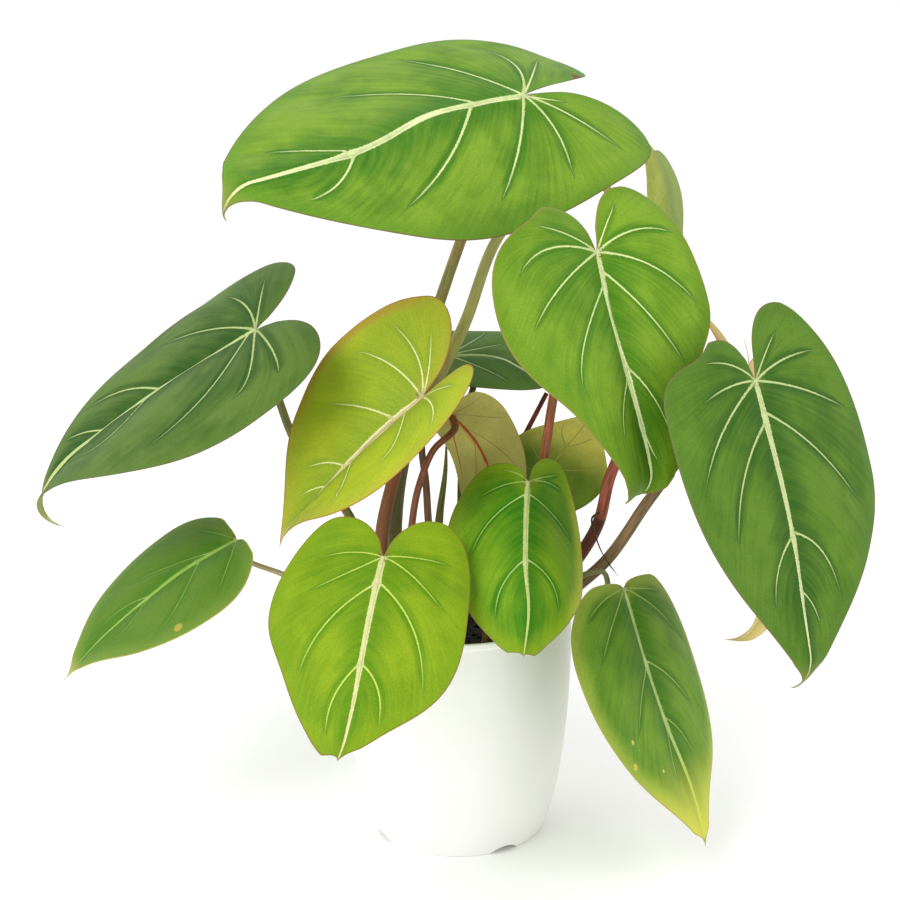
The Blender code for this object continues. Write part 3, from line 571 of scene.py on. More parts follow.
def veinFields(number, signed):
    # for points of both halves (second half negative), one column for each half's own veins:
    # near: distance to the nearest vein in half widths, with a sign that turns over from vein to vein,
    # so that it crosses nought only on a vein; phase: counts the veins passed, evenly between two of them
    blade = blades[number]
    count = len(signed)
    fromRib = signed[:, 0] - ribSide(number, signed[:, 1])
    near = np.full((count, 2), 90.0)
    phase, span, share, distance = np.zeros(count), np.zeros(count), np.ones(count), np.full(count, 60.0)
    for column, direction in enumerate((-1, 1)):
        own = np.flatnonzero(fromRib * direction >= 0)
        flat = signed[own]
        rows = [row for row in bladeVeins[number]["veins"] if row[3] * direction > 0]
        found = []
        for row in rows:
            line = veinLine(number, row)
            ahead = line[-1] - line[-2]
            line = np.vstack([line, line[-1] + ahead / np.linalg.norm(ahead) * blade["halves"][0]])
            gap, side, along = lineDistance(flat, line)
            along = np.clip(along * (len(line) - 1) / (len(line) - 2), 0, 1)
            found.append((direction * side * gap / veinHalfWidth(number, along, row[5]), gap, along))
        widths, gaps, alongs = (np.array(values) for values in zip(*found))
        nearest = np.abs(widths).argmin(axis=0)
        index = np.arange(len(flat))
        near[own, column] = np.clip(widths[nearest, index] * (-1.0) ** nearest, -90, 90)
        share[own] = alongs[nearest, index]
        distance[own] = np.where(share[own] < 1, gaps[nearest, index], 60)
        passed = (widths > 0).sum(axis=0)
        before = gaps[np.clip(passed - 1, 0, None), index]
        after = gaps[np.clip(passed, None, len(rows) - 1), index]
        between = passed + before / (before + after + 1e-6)
        between = np.where(passed == 0, 1 - after / (after + 25), between)
        phase[own] = np.where(passed == len(rows), passed + before / (before + 25), between)
        span[own] = np.clip(before + after, 0, 60)
    behind = np.hypot(fromRib, np.minimum(signed[:, 1], 0))
    rib = np.copysign(behind, fromRib) / ribHalfWidth(number, signed[:, 1])
    return dict(near=near, rib=rib, phase=phase, span=span, share=share, distance=distance)


def makeGrid(number, side, phase):
    # flat fan of one half: rings from the junction out, columns along the margin
    blade = blades[number]
    size = max(2, round(blade["length"] / bladeMake["cell"] / 15))
    outline = halfOutline(blade, side, [size * n for n in bladeMake["outlineSteps"]])
    rings = max(12, round(0.85 * blade["length"] / bladeMake["cell"]))
    reach = np.concatenate([np.linspace(0, 1, rings + 1)[1:-1], [1 - 0.6 / blade["length"], 1.0]])
    flat = (reach[:, None, None] * outline[None]).reshape(-1, 2)
    share = np.tile(np.linspace(0, 1, len(outline)), len(reach))
    spread = np.repeat(reach, len(outline))
    margin = lineDistance(flat, np.vstack([[[0, 0]], outline]))[0]
    signed = flat * (1 if side == 0 else -1, 1)
    veins = veinFields(number, signed)
    calmMargin, calmRib = bladeMake["calm"]
    fade = np.clip(margin / calmMargin, 0, 1) * np.clip(flat[:, 0] / calmRib, 0, 1)
    puff = np.abs(np.sin(math.pi * (veins["phase"] % 1.0)))
    lift = waveLift(blade, phase, share, spread) + bladeMake["quilt"] * veins["span"] * puff * fade
    depth, width = bladeMake["groove"]
    fromRib = np.abs(veins["rib"]) * ribHalfWidth(number, signed[:, 1])
    lift -= depth * np.exp(-(fromRib / width) ** 2) * (1 - 0.6 * spread)
    depth, width = bladeMake["sinking"]
    lift -= depth * np.exp(-(veins["distance"] / width) ** 2) * (1 - veins["share"]) * fade
    fields = {
        "veins": np.column_stack([veins["near"], veins["rib"]]),
        "betweenVeins": np.column_stack([veins["phase"], veins["share"], veins["distance"]]),
        "leafPlace": np.column_stack([signed, margin]),
    }
    return dict(outline=outline, rings=len(reach), flat=flat, lift=lift, margin=margin, fields=fields)


def bladeThickness(margin):
    thin, thick = bladeMake["marginThickness"], bladeMake["thickness"]
    return thin + (thick - thin) * np.clip(margin / bladeMake["thinning"], 0, 1)


def bladeShell(blade, grids):
    # top and bottom faces joined at the margin; returns points, faces, fields and the skin of each face
    points, fields = [], {}
    for way in (1, -1):  # upper side, underside
        for side, grid in enumerate(grids):
            lift = grid["lift"] + way * (bladeThickness(grid["margin"]) / 2)
            points.append(bend(blade, side, grid["flat"], lift))
            for name, values in grid["fields"].items():
                fields.setdefault(name, []).append(values)
        lift = np.array([-bladeMake["groove"][0] + way * bladeMake["marginThickness"] / 2])
        points.append(bend(blade, 0, np.zeros((1, 2)), lift))
        for name, value in (("veins", (90, 90, 0)), ("betweenVeins", (1, 0, 0)), ("leafPlace", (0, 0, 0))):
            fields[name].append(np.array([value], float))
    sizes = [len(grid["flat"]) for grid in grids]
    centre = sum(sizes)
    layer = centre + 1
    index = [(first + np.arange(size)).reshape(grid["rings"], -1)
             for first, size, grid in zip((0, sizes[0]), sizes, grids)]
    index[1][:, -1] = index[0][:, -1]  # the two halves share the midrib

    def quads(a, b, c, d, flip):
        block = np.stack([a, b, c, d], -1).reshape(-1, 4)
        return (block[:, ::-1] if flip else block).tolist()

    top, bottom, wall = [], [], []
    for flip, grid in enumerate(index):
        cells = (grid[:-1, :-1], grid[1:, :-1], grid[1:, 1:], grid[:-1, 1:])
        top += quads(*cells, flip)
        bottom += quads(*(part + layer for part in cells), not flip)
        for k in range(grid.shape[1] - 1):
            fan = [centre, int(grid[0, k]), int(grid[0, k + 1])]
            top.append(fan[::-1] if flip else fan)
            bottom.append([i + layer for i in (fan if flip else fan[::-1])])
        rim = grid[-1]
        wall += quads(rim[:-1] + layer, rim[1:] + layer, rim[1:], rim[:-1], flip)
        neck = np.concatenate([[centre], grid[:, 0]])
        wall += quads(neck[1:] + layer, neck[:-1] + layer, neck[:-1], neck[1:], not flip)
    skins = [0] * len(top) + [1] * len(bottom) + [0] * len(wall)
    fields = {name: np.concatenate(values) for name, values in fields.items()}
    return np.concatenate(points), top + bottom + wall, fields, skins


def ridgeAlong(blade, phases, grids, line, radii, sides):
    # a round ridge along a line of signed flat points, under the blade and as wavy;
    # a thick one rises through it and stands out of the upper side too
    path = np.zeros((len(line), 3))
    for side, sign in ((0, 1), (1, -1)):
        there = line[:, 0] * sign >= 0
        flat = line[there] * (sign, 1)
        share, spread = marginPlace(grids[side]["outline"], flat)
        lift = waveLift(blade, phases[side], share, spread) - bladeMake["thickness"] / 2 - 0.1 * radii[there]
        path[there] = bend(blade, side, flat, lift)
    return tubeAlong(path, radii, sides, bladeAxes(blade)[2])


def bladeRidges(number, phases, grids):
    # ridges of the midrib and the veins; returns two sets: strong and faint ones
    blade = blades[number]
    v = np.linspace(0, 0.985 * blade["length"], 60)
    line = np.column_stack([ribSide(number, v), v])
    radii = bladeMake["ribShare"] * ribHalfWidth(number, v)
    strong, faint = [ridgeAlong(blade, phases, grids, line, radii, 8)], []
    for row in bladeVeins[number]["veins"]:
        radii = bladeMake["ridgeShare"] * veinHalfWidth(number, np.linspace(0, 1, 24), row[5])
        ridge = ridgeAlong(blade, phases, grids, veinLine(number, row, 24), np.maximum(radii, 0.06), 6)
        (strong if row[5] == 1 else faint).append(ridge)
    return mergeParts(strong), mergeParts(faint)


bladeLooks = {  # sRGB colours matched to the photograph
    # top: deep green by the veins, bright green between them, rim, veins, midrib, dry line of the margin
    # under: skin, strong ridges and midrib, faint ridges; slot: where it isn't leaf_green
    # tip, tipEnd: colours of ageing; tipStart: where it begins, share of the length
    # blush: colour, from and to (mm across the blade), reach from the margin in mm
    # spots: place and radius in mm, colour
    # underTint: second colour, mm of run along the blade for each mm across, start and end of the change, mm
    1: dict(top="376A14 719328 598522 C7D191 CED39D 6E6038", under="8FA862 B9C78A B0C07C", tip="8A8A3A",
            spots=((-13, -66, 9, "6E3A22"),)),
    2: dict(top="284D13 55712C 526D2A A8B872 B6C17C 5E6038", under="83995A AEBD80 A0B072", tip="B0AA62",
            tipEnd="5A3020", tipStart=0.8, slot="leaf_dark_green"),
    3: dict(top="859D29 A2B028 A5A233 DEDE9D E4DCAC A5663C", under="A9AE55 C9B98A BDBE70", tip="C09A60",
            tipEnd="A87850", blush=("A88A32", -30, -66, 10), slot="leaf_lime"),
    4: dict(top="3F7111 719424 608118 C5D18B D0D59F 85783E", under="8FA862 B9C78A B0C07C"),
    5: dict(top="2E5613 567A21 4F7124 B2C17E CDCF99 6C6640", under="83995A AEBD80 A0B072", tip="8A8A3A"),
    6: dict(top="45721C 5C7D2A 728C38 779944 7DA442 A49A52", under="8A9C5C 8CAB4F A0B072", tip="B5B060",
            spots=((55, 60, 3.8, "A09C3E"), (56, 61, 1.6, "B0923A"))),
    7: dict(top="537E10 809A19 729017 B2C654 D0CA91 806A2E", under="9DB156 C3C588 B2C06E", slot="leaf_lime"),
    8: dict(top="306E0F 6F951C 829A19 98B358 BAC470 7A7E34", under="86A052 B2BE7E A2B46C",
            blush=("B3BC38", 26, 46, 14)),
    9: dict(top="3D6E1A 6C922B 9DAB45 8FAA50 A1BA5C A39A4C", under="87985A AEBD80 A0B072", tip="C8C850",
            tipEnd="6A5A2A", tipStart=0.6,
            spots=((-44, 89, 1.8, "C9BC50"), (-48, 103, 2.6, "C0B048"), (-23, 112, 1.2, "D5CC80"))),
    10: dict(top="45622A 567A33 587C37 ABBE89 BECE99 6F6A40", under="7A8C5A A2B080 90A26C",
             slot="leaf_dark_green"),
    11: dict(top="7D8048 929155 A09A5E A89A6A B08862 8A5A40", under="B2AB5E B5532C A8925A",
             slot="leaf_olive"),
    12: dict(top="4A5F18 75862A 7C8636 989E57 A3A15B 7E7034", under="6C882A A9A552 93964A",
             underTint=("CAC45B", 0.0, 8, 44), slot="leaf_olive"),
    13: dict(top="6E8440 839A4A 7F9350 BEC38B C4C692 8A7A4A", under="C0C75C C9CE78 BCC46A",
             underTint=("8C9F58", -8.0, 100, 260)),
    14: dict(top="B4AE60 CBBC70 CDB472 C7C18B CCC391 A98A50", under="C3B56E C9A878 CDBB78", tip="A4A664",
             tipEnd="4A2A1C", tipStart=0.9, blush=("D08A48", -20, -50, 14), slot="leaf_tan"),
}


def agedTip(skin, number, along, colour):
    # ageing tip, darkest at its very end; colour: what gives the colour so far
    looks, length = bladeLooks[number], blades[number]["length"]
    if "tip" not in looks:
        return colour
    end = 0.99 * length
    colour = tintWhere(skin, colour, along, looks.get("tipStart", 0.86) * length, end, looks["tip"], 0.9)
    return tintWhere(skin, colour, along, 0.965 * length, end, looks.get("tipEnd", looks["tip"]), 0.9)


def bladeTopSkin(number, looks):
    # living leaf, upper side: velvety skin, pale veins in a deep green zone, brighter fields between them
    skin = newSkin(f"upper leaf skin {number:02d}", {
        "IOR": 1.45, "Specular IOR Level": 0.12, "Sheen Weight": 0.01, "Sheen Roughness": 0.4})
    soft = {"interpolation_type": "SMOOTHSTEP"}
    deep, bright, rimGreen, veinPale, ribPale, dryLine = looks["top"].split()
    place, veins, gaps = (addNode(skin, "Attribute", {"attribute_name": name}).outputs["Vector"]
                          for name in ("leafPlace", "veins", "betweenVeins"))
    across, along, margin = addNode(skin, "SeparateXYZ", {0: place}).outputs
    bothSigns = addNode(skin, "VectorMath", {"operation": "ABSOLUTE", 0: veins})
    left, right, rib = addNode(skin, "SeparateXYZ", {0: bothSigns}).outputs
    phase, share, distance = addNode(skin, "SeparateXYZ", {0: gaps}).outputs
    nearest = addNode(skin, "Math", {"operation": "MINIMUM", 0: left, 1: right})
    # fields between the veins: brighter from 5 mm off a vein, in clouds about 30 mm wide
    away = addNode(skin, "MapRange", {"Value": distance, "From": (5.0, 9.0), "To": (0, 14.0)})
    clear = addNode(skin, "Math", {"operation": "MAXIMUM", 0: nearest, 1: away})
    gap = addNode(skin, "Math", {"operation": "MINIMUM", 0: clear, 1: rib})
    between = addNode(skin, "MapRange", {**soft, "Value": gap, "From": (1.5, 14.0), "To": (0.15, 1)})
    cloud = addNode(skin, "TexNoise", {"Vector": place, "Scale": 0.02, "Detail": 3.0, "Roughness": 0.55})
    cloudy = addNode(skin, "MapRange", {**soft, "Value": cloud, "From": (0.3, 0.68), "To": (0.35, 1)})
    field = addNode(skin, "Math", {"operation": "MULTIPLY", 0: between, 1: cloudy})
    # fine lines beside the veins, about fourteen from one vein to the next
    linesAt = addNode(skin, "CombineXYZ", {"X": phase, "Y": along})
    linesScaled = addNode(skin, "VectorMath", {"operation": "MULTIPLY", 0: linesAt, 1: (14.0, 0.03, 1.0)})
    lines = addNode(skin, "TexNoise", {"Vector": linesScaled, "Scale": 1.0, "Detail": 4.0, "Roughness": 0.6})
    lined = addNode(skin, "MapRange", {"Value": lines, "From": (0.3, 0.7), "To": (-0.26, 0.26)})
    amount = addNode(skin, "Math", {"operation": "ADD", "use_clamp": True, 0: field, 1: lined})
    colour = addNode(skin, "Mix", {"data_type": "RGBA", 0: amount, 6: deep, 7: bright})
    colour = tintWhere(skin, colour, margin, 13.0, 1.0, rimGreen, 0.6)
    if "blush" in looks:
        blushColour, start, end, reach = looks["blush"]
        sideways = addNode(skin, "MapRange", {**soft, "Value": across, "From": (start, end)})
        inwards = addNode(skin, "MapRange", {
            **soft, "Value": margin, "From": (reach, 2.0), "To": (0, 0.8)})
        blushed = addNode(skin, "Math", {"operation": "MULTIPLY", 0: sideways, 1: inwards})
        colour = addNode(skin, "Mix", {"data_type": "RGBA", 0: blushed, 6: colour, 7: blushColour})
    # cells of the skin, drawn about 1.1 mm wide, so that they show
    cells = addNode(skin, "TexNoise", {"Vector": place, "Scale": 0.9, "Detail": 2.0})
    celled = addNode(skin, "MapRange", {"Value": cells, "From": (0.2, 0.8), "To": (0.84, 1.16)})
    colour = addNode(skin, "VectorMath", {"operation": "SCALE", 0: colour, "Scale": celled})
    # veins with ragged edges and small spurs, about 1 mm from spur to spur, fading to their ends
    ragged = addNode(skin, "TexNoise", {"Vector": place, "Scale": 0.85, "Detail": 3.0, "Roughness": 0.7})
    spurs = addNode(skin, "MapRange", {"Value": ragged, "From": (0.2, 0.8), "To": (-0.85, 0.85)})
    veinEdge = addNode(skin, "Math", {"operation": "ADD", 0: nearest, 1: spurs})
    veinBody = addNode(skin, "MapRange", {**soft, "Value": veinEdge, "From": (1.5, 0.6)})
    fading = addNode(skin, "MapRange", {**soft, "Value": share, "From": (1.0, 0.5), "To": (0.4, 1)})
    close = addNode(skin, "MapRange", {**soft, "Value": distance, "From": (5.5, 4.0)})
    faded = addNode(skin, "Math", {"operation": "MULTIPLY", 0: fading, 1: close})
    vein = addNode(skin, "Math", {"operation": "MULTIPLY", 0: veinBody, 1: faded})
    colour = addNode(skin, "Mix", {"data_type": "RGBA", 0: vein, 6: colour, 7: veinPale})
    ribEdge = addNode(skin, "Math", {"operation": "MULTIPLY_ADD", 0: spurs, 1: 0.42, 2: rib})
    colour = tintWhere(skin, colour, ribEdge, 1.25, 0.8, ribPale)
    # greenish brown speckle within 8 mm of the stalk
    fromStalk = addNode(skin, "VectorMath", {"operation": "DISTANCE", 0: place, 1: (0, 0, 0)})
    nearStalk = addNode(skin, "MapRange", {**soft, "Value": fromStalk, "From": (8.0, 3.0)})
    speckle = addNode(skin, "MapRange", {**soft, "Value": ragged, "From": (0.42, 0.52), "To": (0, 0.9)})
    speckled = addNode(skin, "Math", {"operation": "MULTIPLY", 0: nearStalk, 1: speckle})
    colour = addNode(skin, "Mix", {"data_type": "RGBA", 0: speckled, 6: colour, 7: "5F5429"})
    colour = agedTip(skin, number, along, colour)
    if "spots" in looks:
        flatPlace = addNode(skin, "VectorMath", {"operation": "MULTIPLY", 0: place, 1: (1, 1, 0)})
    for x, v, radius, hexCode in looks.get("spots", ()):
        fromSpot = addNode(skin, "VectorMath", {"operation": "DISTANCE", 0: flatPlace, 1: (x, v, 0)})
        colour = tintWhere(skin, colour, fromSpot, radius, 0.6 * radius, hexCode, 0.9)
    # dry brownish line, about 0.6 mm wide, along the margin
    colour = tintWhere(skin, colour, margin, 1.0, 0.4, dryLine, 0.8)
    sunkVein = addNode(skin, "Math", {"operation": "MULTIPLY_ADD", 0: vein, 1: -0.8, 2: cells})
    return finishSkin(skin, {
        "Base Color": colour,
        "Roughness": addNode(skin, "MapRange", {"Value": cells, "To": (0.5, 0.62)}),
        "Normal": addNode(skin, "Bump", {"Strength": 0.3, "Distance": 0.0004, "Height": sunkVein})})


def bladeUnderSkin(number, looks):
    # living leaf, underside: matt and paler, with a fine net of veins about 2 mm wide
    skin = newSkin(f"under leaf skin {number:02d}", {
        "IOR": 1.42, "Specular IOR Level": 0.2, "Roughness": 0.65, "Sheen Weight": 0.04,
        "Sheen Roughness": 0.5})
    place = addNode(skin, "Attribute", {"attribute_name": "leafPlace"}).outputs["Vector"]
    across, along = addNode(skin, "SeparateXYZ", {0: place}).outputs[:2]
    cloud = addNode(skin, "TexNoise", {"Vector": place, "Scale": 0.05, "Detail": 3.0})
    clouded = addNode(skin, "MapRange", {"Value": cloud, "From": (0.3, 0.7), "To": (0.84, 1.12)})
    net = addNode(skin, "TexVoronoi", {"feature": "DISTANCE_TO_EDGE", "Vector": place, "Scale": 0.45})
    netted = addNode(skin, "MapRange", {"Value": net, "From": (0, 0.25), "To": (1.1, 0.97)})
    tone = addNode(skin, "Math", {"operation": "MULTIPLY", 0: netted, 1: clouded})
    base = looks["under"].split()[0]
    second, tilted, start, end = looks.get("underTint", (base, 0, 0, 1))
    run = addNode(skin, "Math", {"operation": "MULTIPLY_ADD", 0: across, 1: tilted, 2: along})
    colour = tintWhere(skin, base, run, start, end, second)
    colour = agedTip(skin, number, along, colour)
    return finishSkin(skin, {
        "Base Color": addNode(skin, "VectorMath", {"operation": "SCALE", 0: colour, "Scale": tone}),
        "Normal": addNode(skin, "Bump", {"Strength": 0.3, "Distance": 0.0003, "Height": netted})})


def bladeRidgeSkin(name, hexCode):
    # ridges of the veins: smooth and pale, the strong ones seen on both sides; clouds about 6 mm wide
    skin = newSkin(name, {"IOR": 1.42, "Specular IOR Level": 0.3, "Roughness": 0.5})
    place = addNode(skin, "TexCoord", {}).outputs["Object"]
    cloud = addNode(skin, "TexNoise", {"Vector": place, "Scale": 160.0, "Detail": 3.0})
    clouded = addNode(skin, "MapRange", {"Value": cloud, "From": (0.3, 0.7), "To": (0.82, 1.12)})
    colour = linearColour(hexCode)[:3]
    toned = addNode(skin, "VectorMath", {"operation": "SCALE", 0: colour, "Scale": clouded})
    return finishSkin(skin, {"Base Color": toned})


def makeBlade(number, draw):
    looks = bladeLooks[number]
    phases = [draw.uniform(0, 2 * math.pi) for _ in range(2)]
    grids = [makeGrid(number, side, phases[side]) for side in (0, 1)]
    points, faces, fields, faceSkins = bladeShell(blades[number], grids)
    skins = [bladeTopSkin(number, looks), bladeUnderSkin(number, looks)]
    ridgeColours = looks["under"].split()[1:]
    for kind, ridges, hexCode in zip(("strong", "faint"), bladeRidges(number, phases, grids), ridgeColours):
        faces += [[i + len(points) for i in face] for face in ridges[1]]
        faceSkins += [len(skins)] * len(ridges[1])
        points = np.concatenate([points, ridges[0]])
        skins.append(bladeRidgeSkin(f"{kind} leaf ridge {number:02d}", hexCode))
    for name, values in fields.items():
        fields[name] = np.concatenate([values, np.full((len(points) - len(values), 3), 90.0)])
    addPiece(f"blade{number:02d}", f"leaf_blade_{number:02d}", looks.get("slot", "leaf_green"), points, faces,
             skins, fields, faceSkins, bladeMake["crease"])


draw = random.Random(bladeMake["seed"])
for number in blades:
    makeBlade(number, draw)
print("blades done")


# Petioles

soilTop = 139.0   # mm, where the stems leave the potting mix
holeDepth = 28.0
stemSideways = (0.31, 0.9, 0.12)  # a direction that no stem runs along
petioles = {  # mm, the imported stalks' own routes: foot in the mix, bends, radius at foot and at the blade
    # skin: sRGB of skin, darker streaks and flush, laid in clouds
    # foot: how far up the stalk the foot's colour is full and where it is gone, mm, and that colour
    # joint: start and end of the dark stretch along the stalk, mm, and its colour
    # slot: where it isn't petiole_olive
    1: dict(root=(-44, -6), via=[(-46, -3, 198), (-37, 0, 237), (-6, 10, 346), (7, 15, 381)],
            radii=(4.6, 3.0), skin="A09858 787646 AA8A58", foot=(150, 190, "8A4632")),
    2: dict(root=(-42, 30), via=[(-68, 30, 202), (-103, 32, 256), (-110, 32, 278)], radii=(3.4, 2.5),
            skin="7E7D43 626534 8F774C"),
    3: dict(root=(-10, -31), via=[(-16, -30, 215), (-17, -30, 240), (-19, -30, 263)], radii=(2.8, 2.0),
            skin="6A5438 4E3F2B 7F5A44"),
    4: dict(root=(40, -12), via=[(50, -16, 200), (56, -18, 247), (62, -20, 289), (74, -24, 345)],
            radii=(3.4, 2.6), skin="8A5230 6A3F26 9C5836", slot="petiole_red"),
    5: dict(root=(59, -8),
            via=[(63, -9, 150), (74, -12, 162), (92, -17, 180), (121, -30, 227), (160, -46, 285)],
            radii=(4.2, 3.0), skin="7C6340 5C4E30 86694A"),
    6: dict(root=(-52, -16), via=[(-62, -10, 155), (-84, -3, 163), (-111, 0, 173)], radii=(2.2, 1.6),
            skin="B4AC86 8E8862 B8A276"),
    7: dict(root=(-26, -48), via=[(-29, -60, 165), (-36, -84, 195)], radii=(3.0, 2.2),
            skin="8A5A40 66442E A0583E"),
    8: dict(root=(18, -40), via=[(24, -38, 180), (38, -32, 222)], radii=(2.8, 2.0),
            skin="7A6A3C 5A5029 8E6440"),
    9: dict(root=(42, -34), via=[(58, -35, 162), (76, -34, 178), (92, -34, 181)], radii=(2.2, 1.6),
            skin="8C8C62 6C6E46 94845A"),
    10: dict(root=(4, 26), via=[(5, 46, 220), (8, 55, 262), (14, 62, 282)], radii=(2.6, 2.0),
             skin="5A6135 454B26 6A5E3A"),
    11: dict(root=(-24, -22), via=[(-26, -33, 215), (-21, -39, 241), (-12, -40, 263)], radii=(2.6, 2.0),
             skin="86503A 623826 94583E", slot="petiole_red"),
    12: dict(root=(34, 18), via=[(40, 32, 180), (48, 42, 205)], radii=(2.2, 1.7),
             skin="6A6E38 50552A 7E6A42"),
    13: dict(root=(-36, 14),
             via=[(-38, 12, 196), (-32, 15, 240), (10, 25, 330), (31, 32, 381), (58, 42, 411), (98, 70, 408)],
             radii=(5.2, 2.6), skin="BAB66E A09E62 B8B078", foot=(150, 190, "4E4C2A"), slot="petiole_pale"),
    14: dict(root=(54, 16), via=[(92, 12, 199), (100, 10, 232), (126, 14, 274), (166, 14, 290)],
             radii=(4.8, 2.6), skin="94503A 743A28 A85C48", joint=(94, 103, "3A1C14"), slot="petiole_red"),
}


def stemSkin(name, looks):
    # living leaf stalk: downy skin with long streaks and small pale dots
    skin = newSkin(name, {
        "IOR": 1.42, "Specular IOR Level": 0.35, "Roughness": 0.5, "Sheen Weight": 0.06,
        "Sheen Roughness": 0.35})
    base, dark, flush = looks["skin"].split()
    place = addNode(skin, "Attribute", {"attribute_name": "stemPlace"}).outputs["Vector"]
    # streaks about 1 mm wide and 15 mm long, flushes about 30 mm long
    stretched = addNode(skin, "VectorMath", {"operation": "MULTIPLY", 0: place, 1: (1.0, 1.0, 0.06)})
    streaks = addNode(skin, "TexNoise", {"Vector": stretched, "Scale": 1.1, "Detail": 3.0})
    cloud = addNode(skin, "TexNoise", {"Vector": place, "Scale": 0.03, "Detail": 2.0})
    colour = tintWhere(skin, base, cloud, 0.42, 0.6, flush, blend="LINEAR")
    colour = tintWhere(skin, colour, streaks, 0.42, 0.66, dark, blend="LINEAR")
    if "foot" in looks:  # darker or redder low down
        full, gone, hexCode = looks["foot"]
        run = addNode(skin, "SeparateXYZ", {0: place}).outputs["Z"]
        colour = tintWhere(skin, colour, run, gone, full, hexCode, 0.75, "LINEAR")
    dots = addNode(skin, "TexVoronoi", {"Vector": place, "Scale": 0.55})
    colour = tintWhere(skin, colour, dots, 0.16, 0.08, "C9BC94", 0.35, "LINEAR")
    if "joint" in looks:  # scar of an old leaf, and a duller stretch below it
        start, end, hexCode = looks["joint"]
        run = addNode(skin, "SeparateXYZ", {0: place}).outputs["Z"]
        ragged = addNode(skin, "Math", {"operation": "MULTIPLY_ADD", 0: streaks, 1: 8.0, 2: run})
        below = addNode(skin, "MapRange", {
            "Value": ragged, "From": (end + 5, end + 3), "To": (0, 0.55)})
        inside = addNode(skin, "MapRange", {
            "Value": ragged, "From": (start + 3, start + 5), "To": (0, 0.45)})
        scar = addNode(skin, "Math", {"operation": "MULTIPLY_ADD", 0: below, 1: inside, 2: below})
        colour = addNode(skin, "Mix", {"data_type": "RGBA", 0: scar, 6: colour, 7: hexCode})
    relief = addNode(skin, "Bump", {"Strength": 0.35, "Distance": 0.0004, "Height": streaks})
    return finishSkin(skin, {"Base Color": colour, "Normal": relief})


def stemPath(stem, ends, spacing=3.0):
    # from the hole in the mix through the stem's bends to its ends
    start = Vector((*stem["root"], soilTop))
    direction = (Vector(stem["via"][0]) - start).normalized()
    foot = [start - direction * holeDepth, start, start + direction * 10]
    return smoothPath([*foot, *stem["via"], *ends], spacing)


def addStem(names, looks, path, radii, sides=20, up=stemSideways, flatten=1.0, twist=0.0):
    # names: of the piece, its node, its slot (not used) and its skin
    points, faces, place = tubeAlong(path, radii, sides, up, flatten, twist)
    addPiece(*names[:3], points, faces, [stemSkin(names[3], looks)], {"stemPlace": place})


def makePetiole(number, stem):
    blade = blades[number]
    up = bladeAxes(blade)[2]
    seat = bend(blade, 0, np.array([[0.0, 3.5]]))[0]
    low, high = stem["radii"]
    end = seat - up * (bladeMake["thickness"] / 2 + 0.6 * high)
    fold = math.radians(max(blade["fold"] + 3.0, 0.0))
    drop = bladeMake["packedThickness"] / 2 / math.cos(fold) + bladeMake["stalkGap"] + high * math.tan(fold)
    path = stemPath(stem, [seat - up * (drop + 9.0), end])  # comes up square to the blade
    radii = low + (high - low) * np.linspace(0, 1, len(path))
    run = np.cumsum(np.linalg.norm(np.diff(path, axis=0, prepend=path[:1]), axis=1))
    left = run[-1] - run
    radii *= 1 + 0.16 * np.exp(-left / 5)                # swells under the blade
    radii *= 1 + 0.10 * np.exp(-((left - 14) / 5) ** 2)  # and at the joint below it
    names = (f"petiole{number:02d}", f"petiole_{number:02d}", stem.get("slot", "petiole_olive"),
             f"petiole skin {number:02d}")
    addStem(names, stem, path, radii)


for number, stem in petioles.items():
    makePetiole(number, stem)
print("petioles done")


# New leaf, bare stalk and dried sheath

spear = dict(root=(-13, -4), via=[(-9, -2, 212), (-5, 0, 239)], tip=(-4, 0, 256), radii=(4.2, 0.6), sides=28,
             overlap=0.16, skin="686732 4C5226 7C7A3C")
bareStalk = dict(root=(-8, 50), via=[(8, 60, 172), (31, 72, 210), (46, 80, 236)], tip=(63, 88, 266),
                 radii=(2.4, 1.6), skin="7A3A28 55281C 8E4A30")
sheath = dict(points=[(91.7, 7.75, 207), (87, -1, 206), (88, -13, 200), (92, -24, 190), (97, -30, 183),
                      (101, -33, 178)], width=0.8, skin="3E2416 24130C 54301C")


def makeSpear():
    path = stemPath(spear, [spear["tip"]], 2.5)
    low, high = spear["radii"]
    radii = low + (high - low) * np.linspace(0, 1, len(path)) ** 2.2
    roll = np.linspace(0, 1, spear["sides"], endpoint=False)
    radii = radii[:, None] * (1 - spear["overlap"] * roll[None, :])  # one edge lies over the other
    names = ("rolledLeaf", "rolled_new_leaf", "new_leaf", "rolled leaf skin")
    addStem(names, spear, path, radii, spear["sides"], (0.3, 0.95, 0.1), twist=0.02)


def makeBareStalk():
    # a stalk whose blade hides behind the others
    path = stemPath(bareStalk, [bareStalk["tip"]])
    low, high = bareStalk["radii"]
    radii = low + (high - low) * np.linspace(0, 1, len(path))
    names = ("barePetiole", "bare_petiole", "petiole_red", "bare petiole skin")
    addStem(names, bareStalk, path, radii, 16)


def makeSheath():
    path = smoothPath(sheath["points"], 0.8)
    share = np.linspace(0, 1, len(path))
    radii = sheath["width"] * (1 - 0.3 * share) * (1 + 0.2 * np.sin(share * 23))  # wrinkled as it dried
    flatten = 0.45 + 0.15 * np.sin(share * 17)
    names = ("driedSheath", "dried_sheath", "dried_sheath", "dried sheath skin")
    addStem(names, sheath, path, radii, 10, (0.2, 0.3, 1), flatten, twist=0.08)


makeSpear()
makeBareStalk()
makeSheath()
print("new leaf, bare stalk and sheath done")


# Potting mix

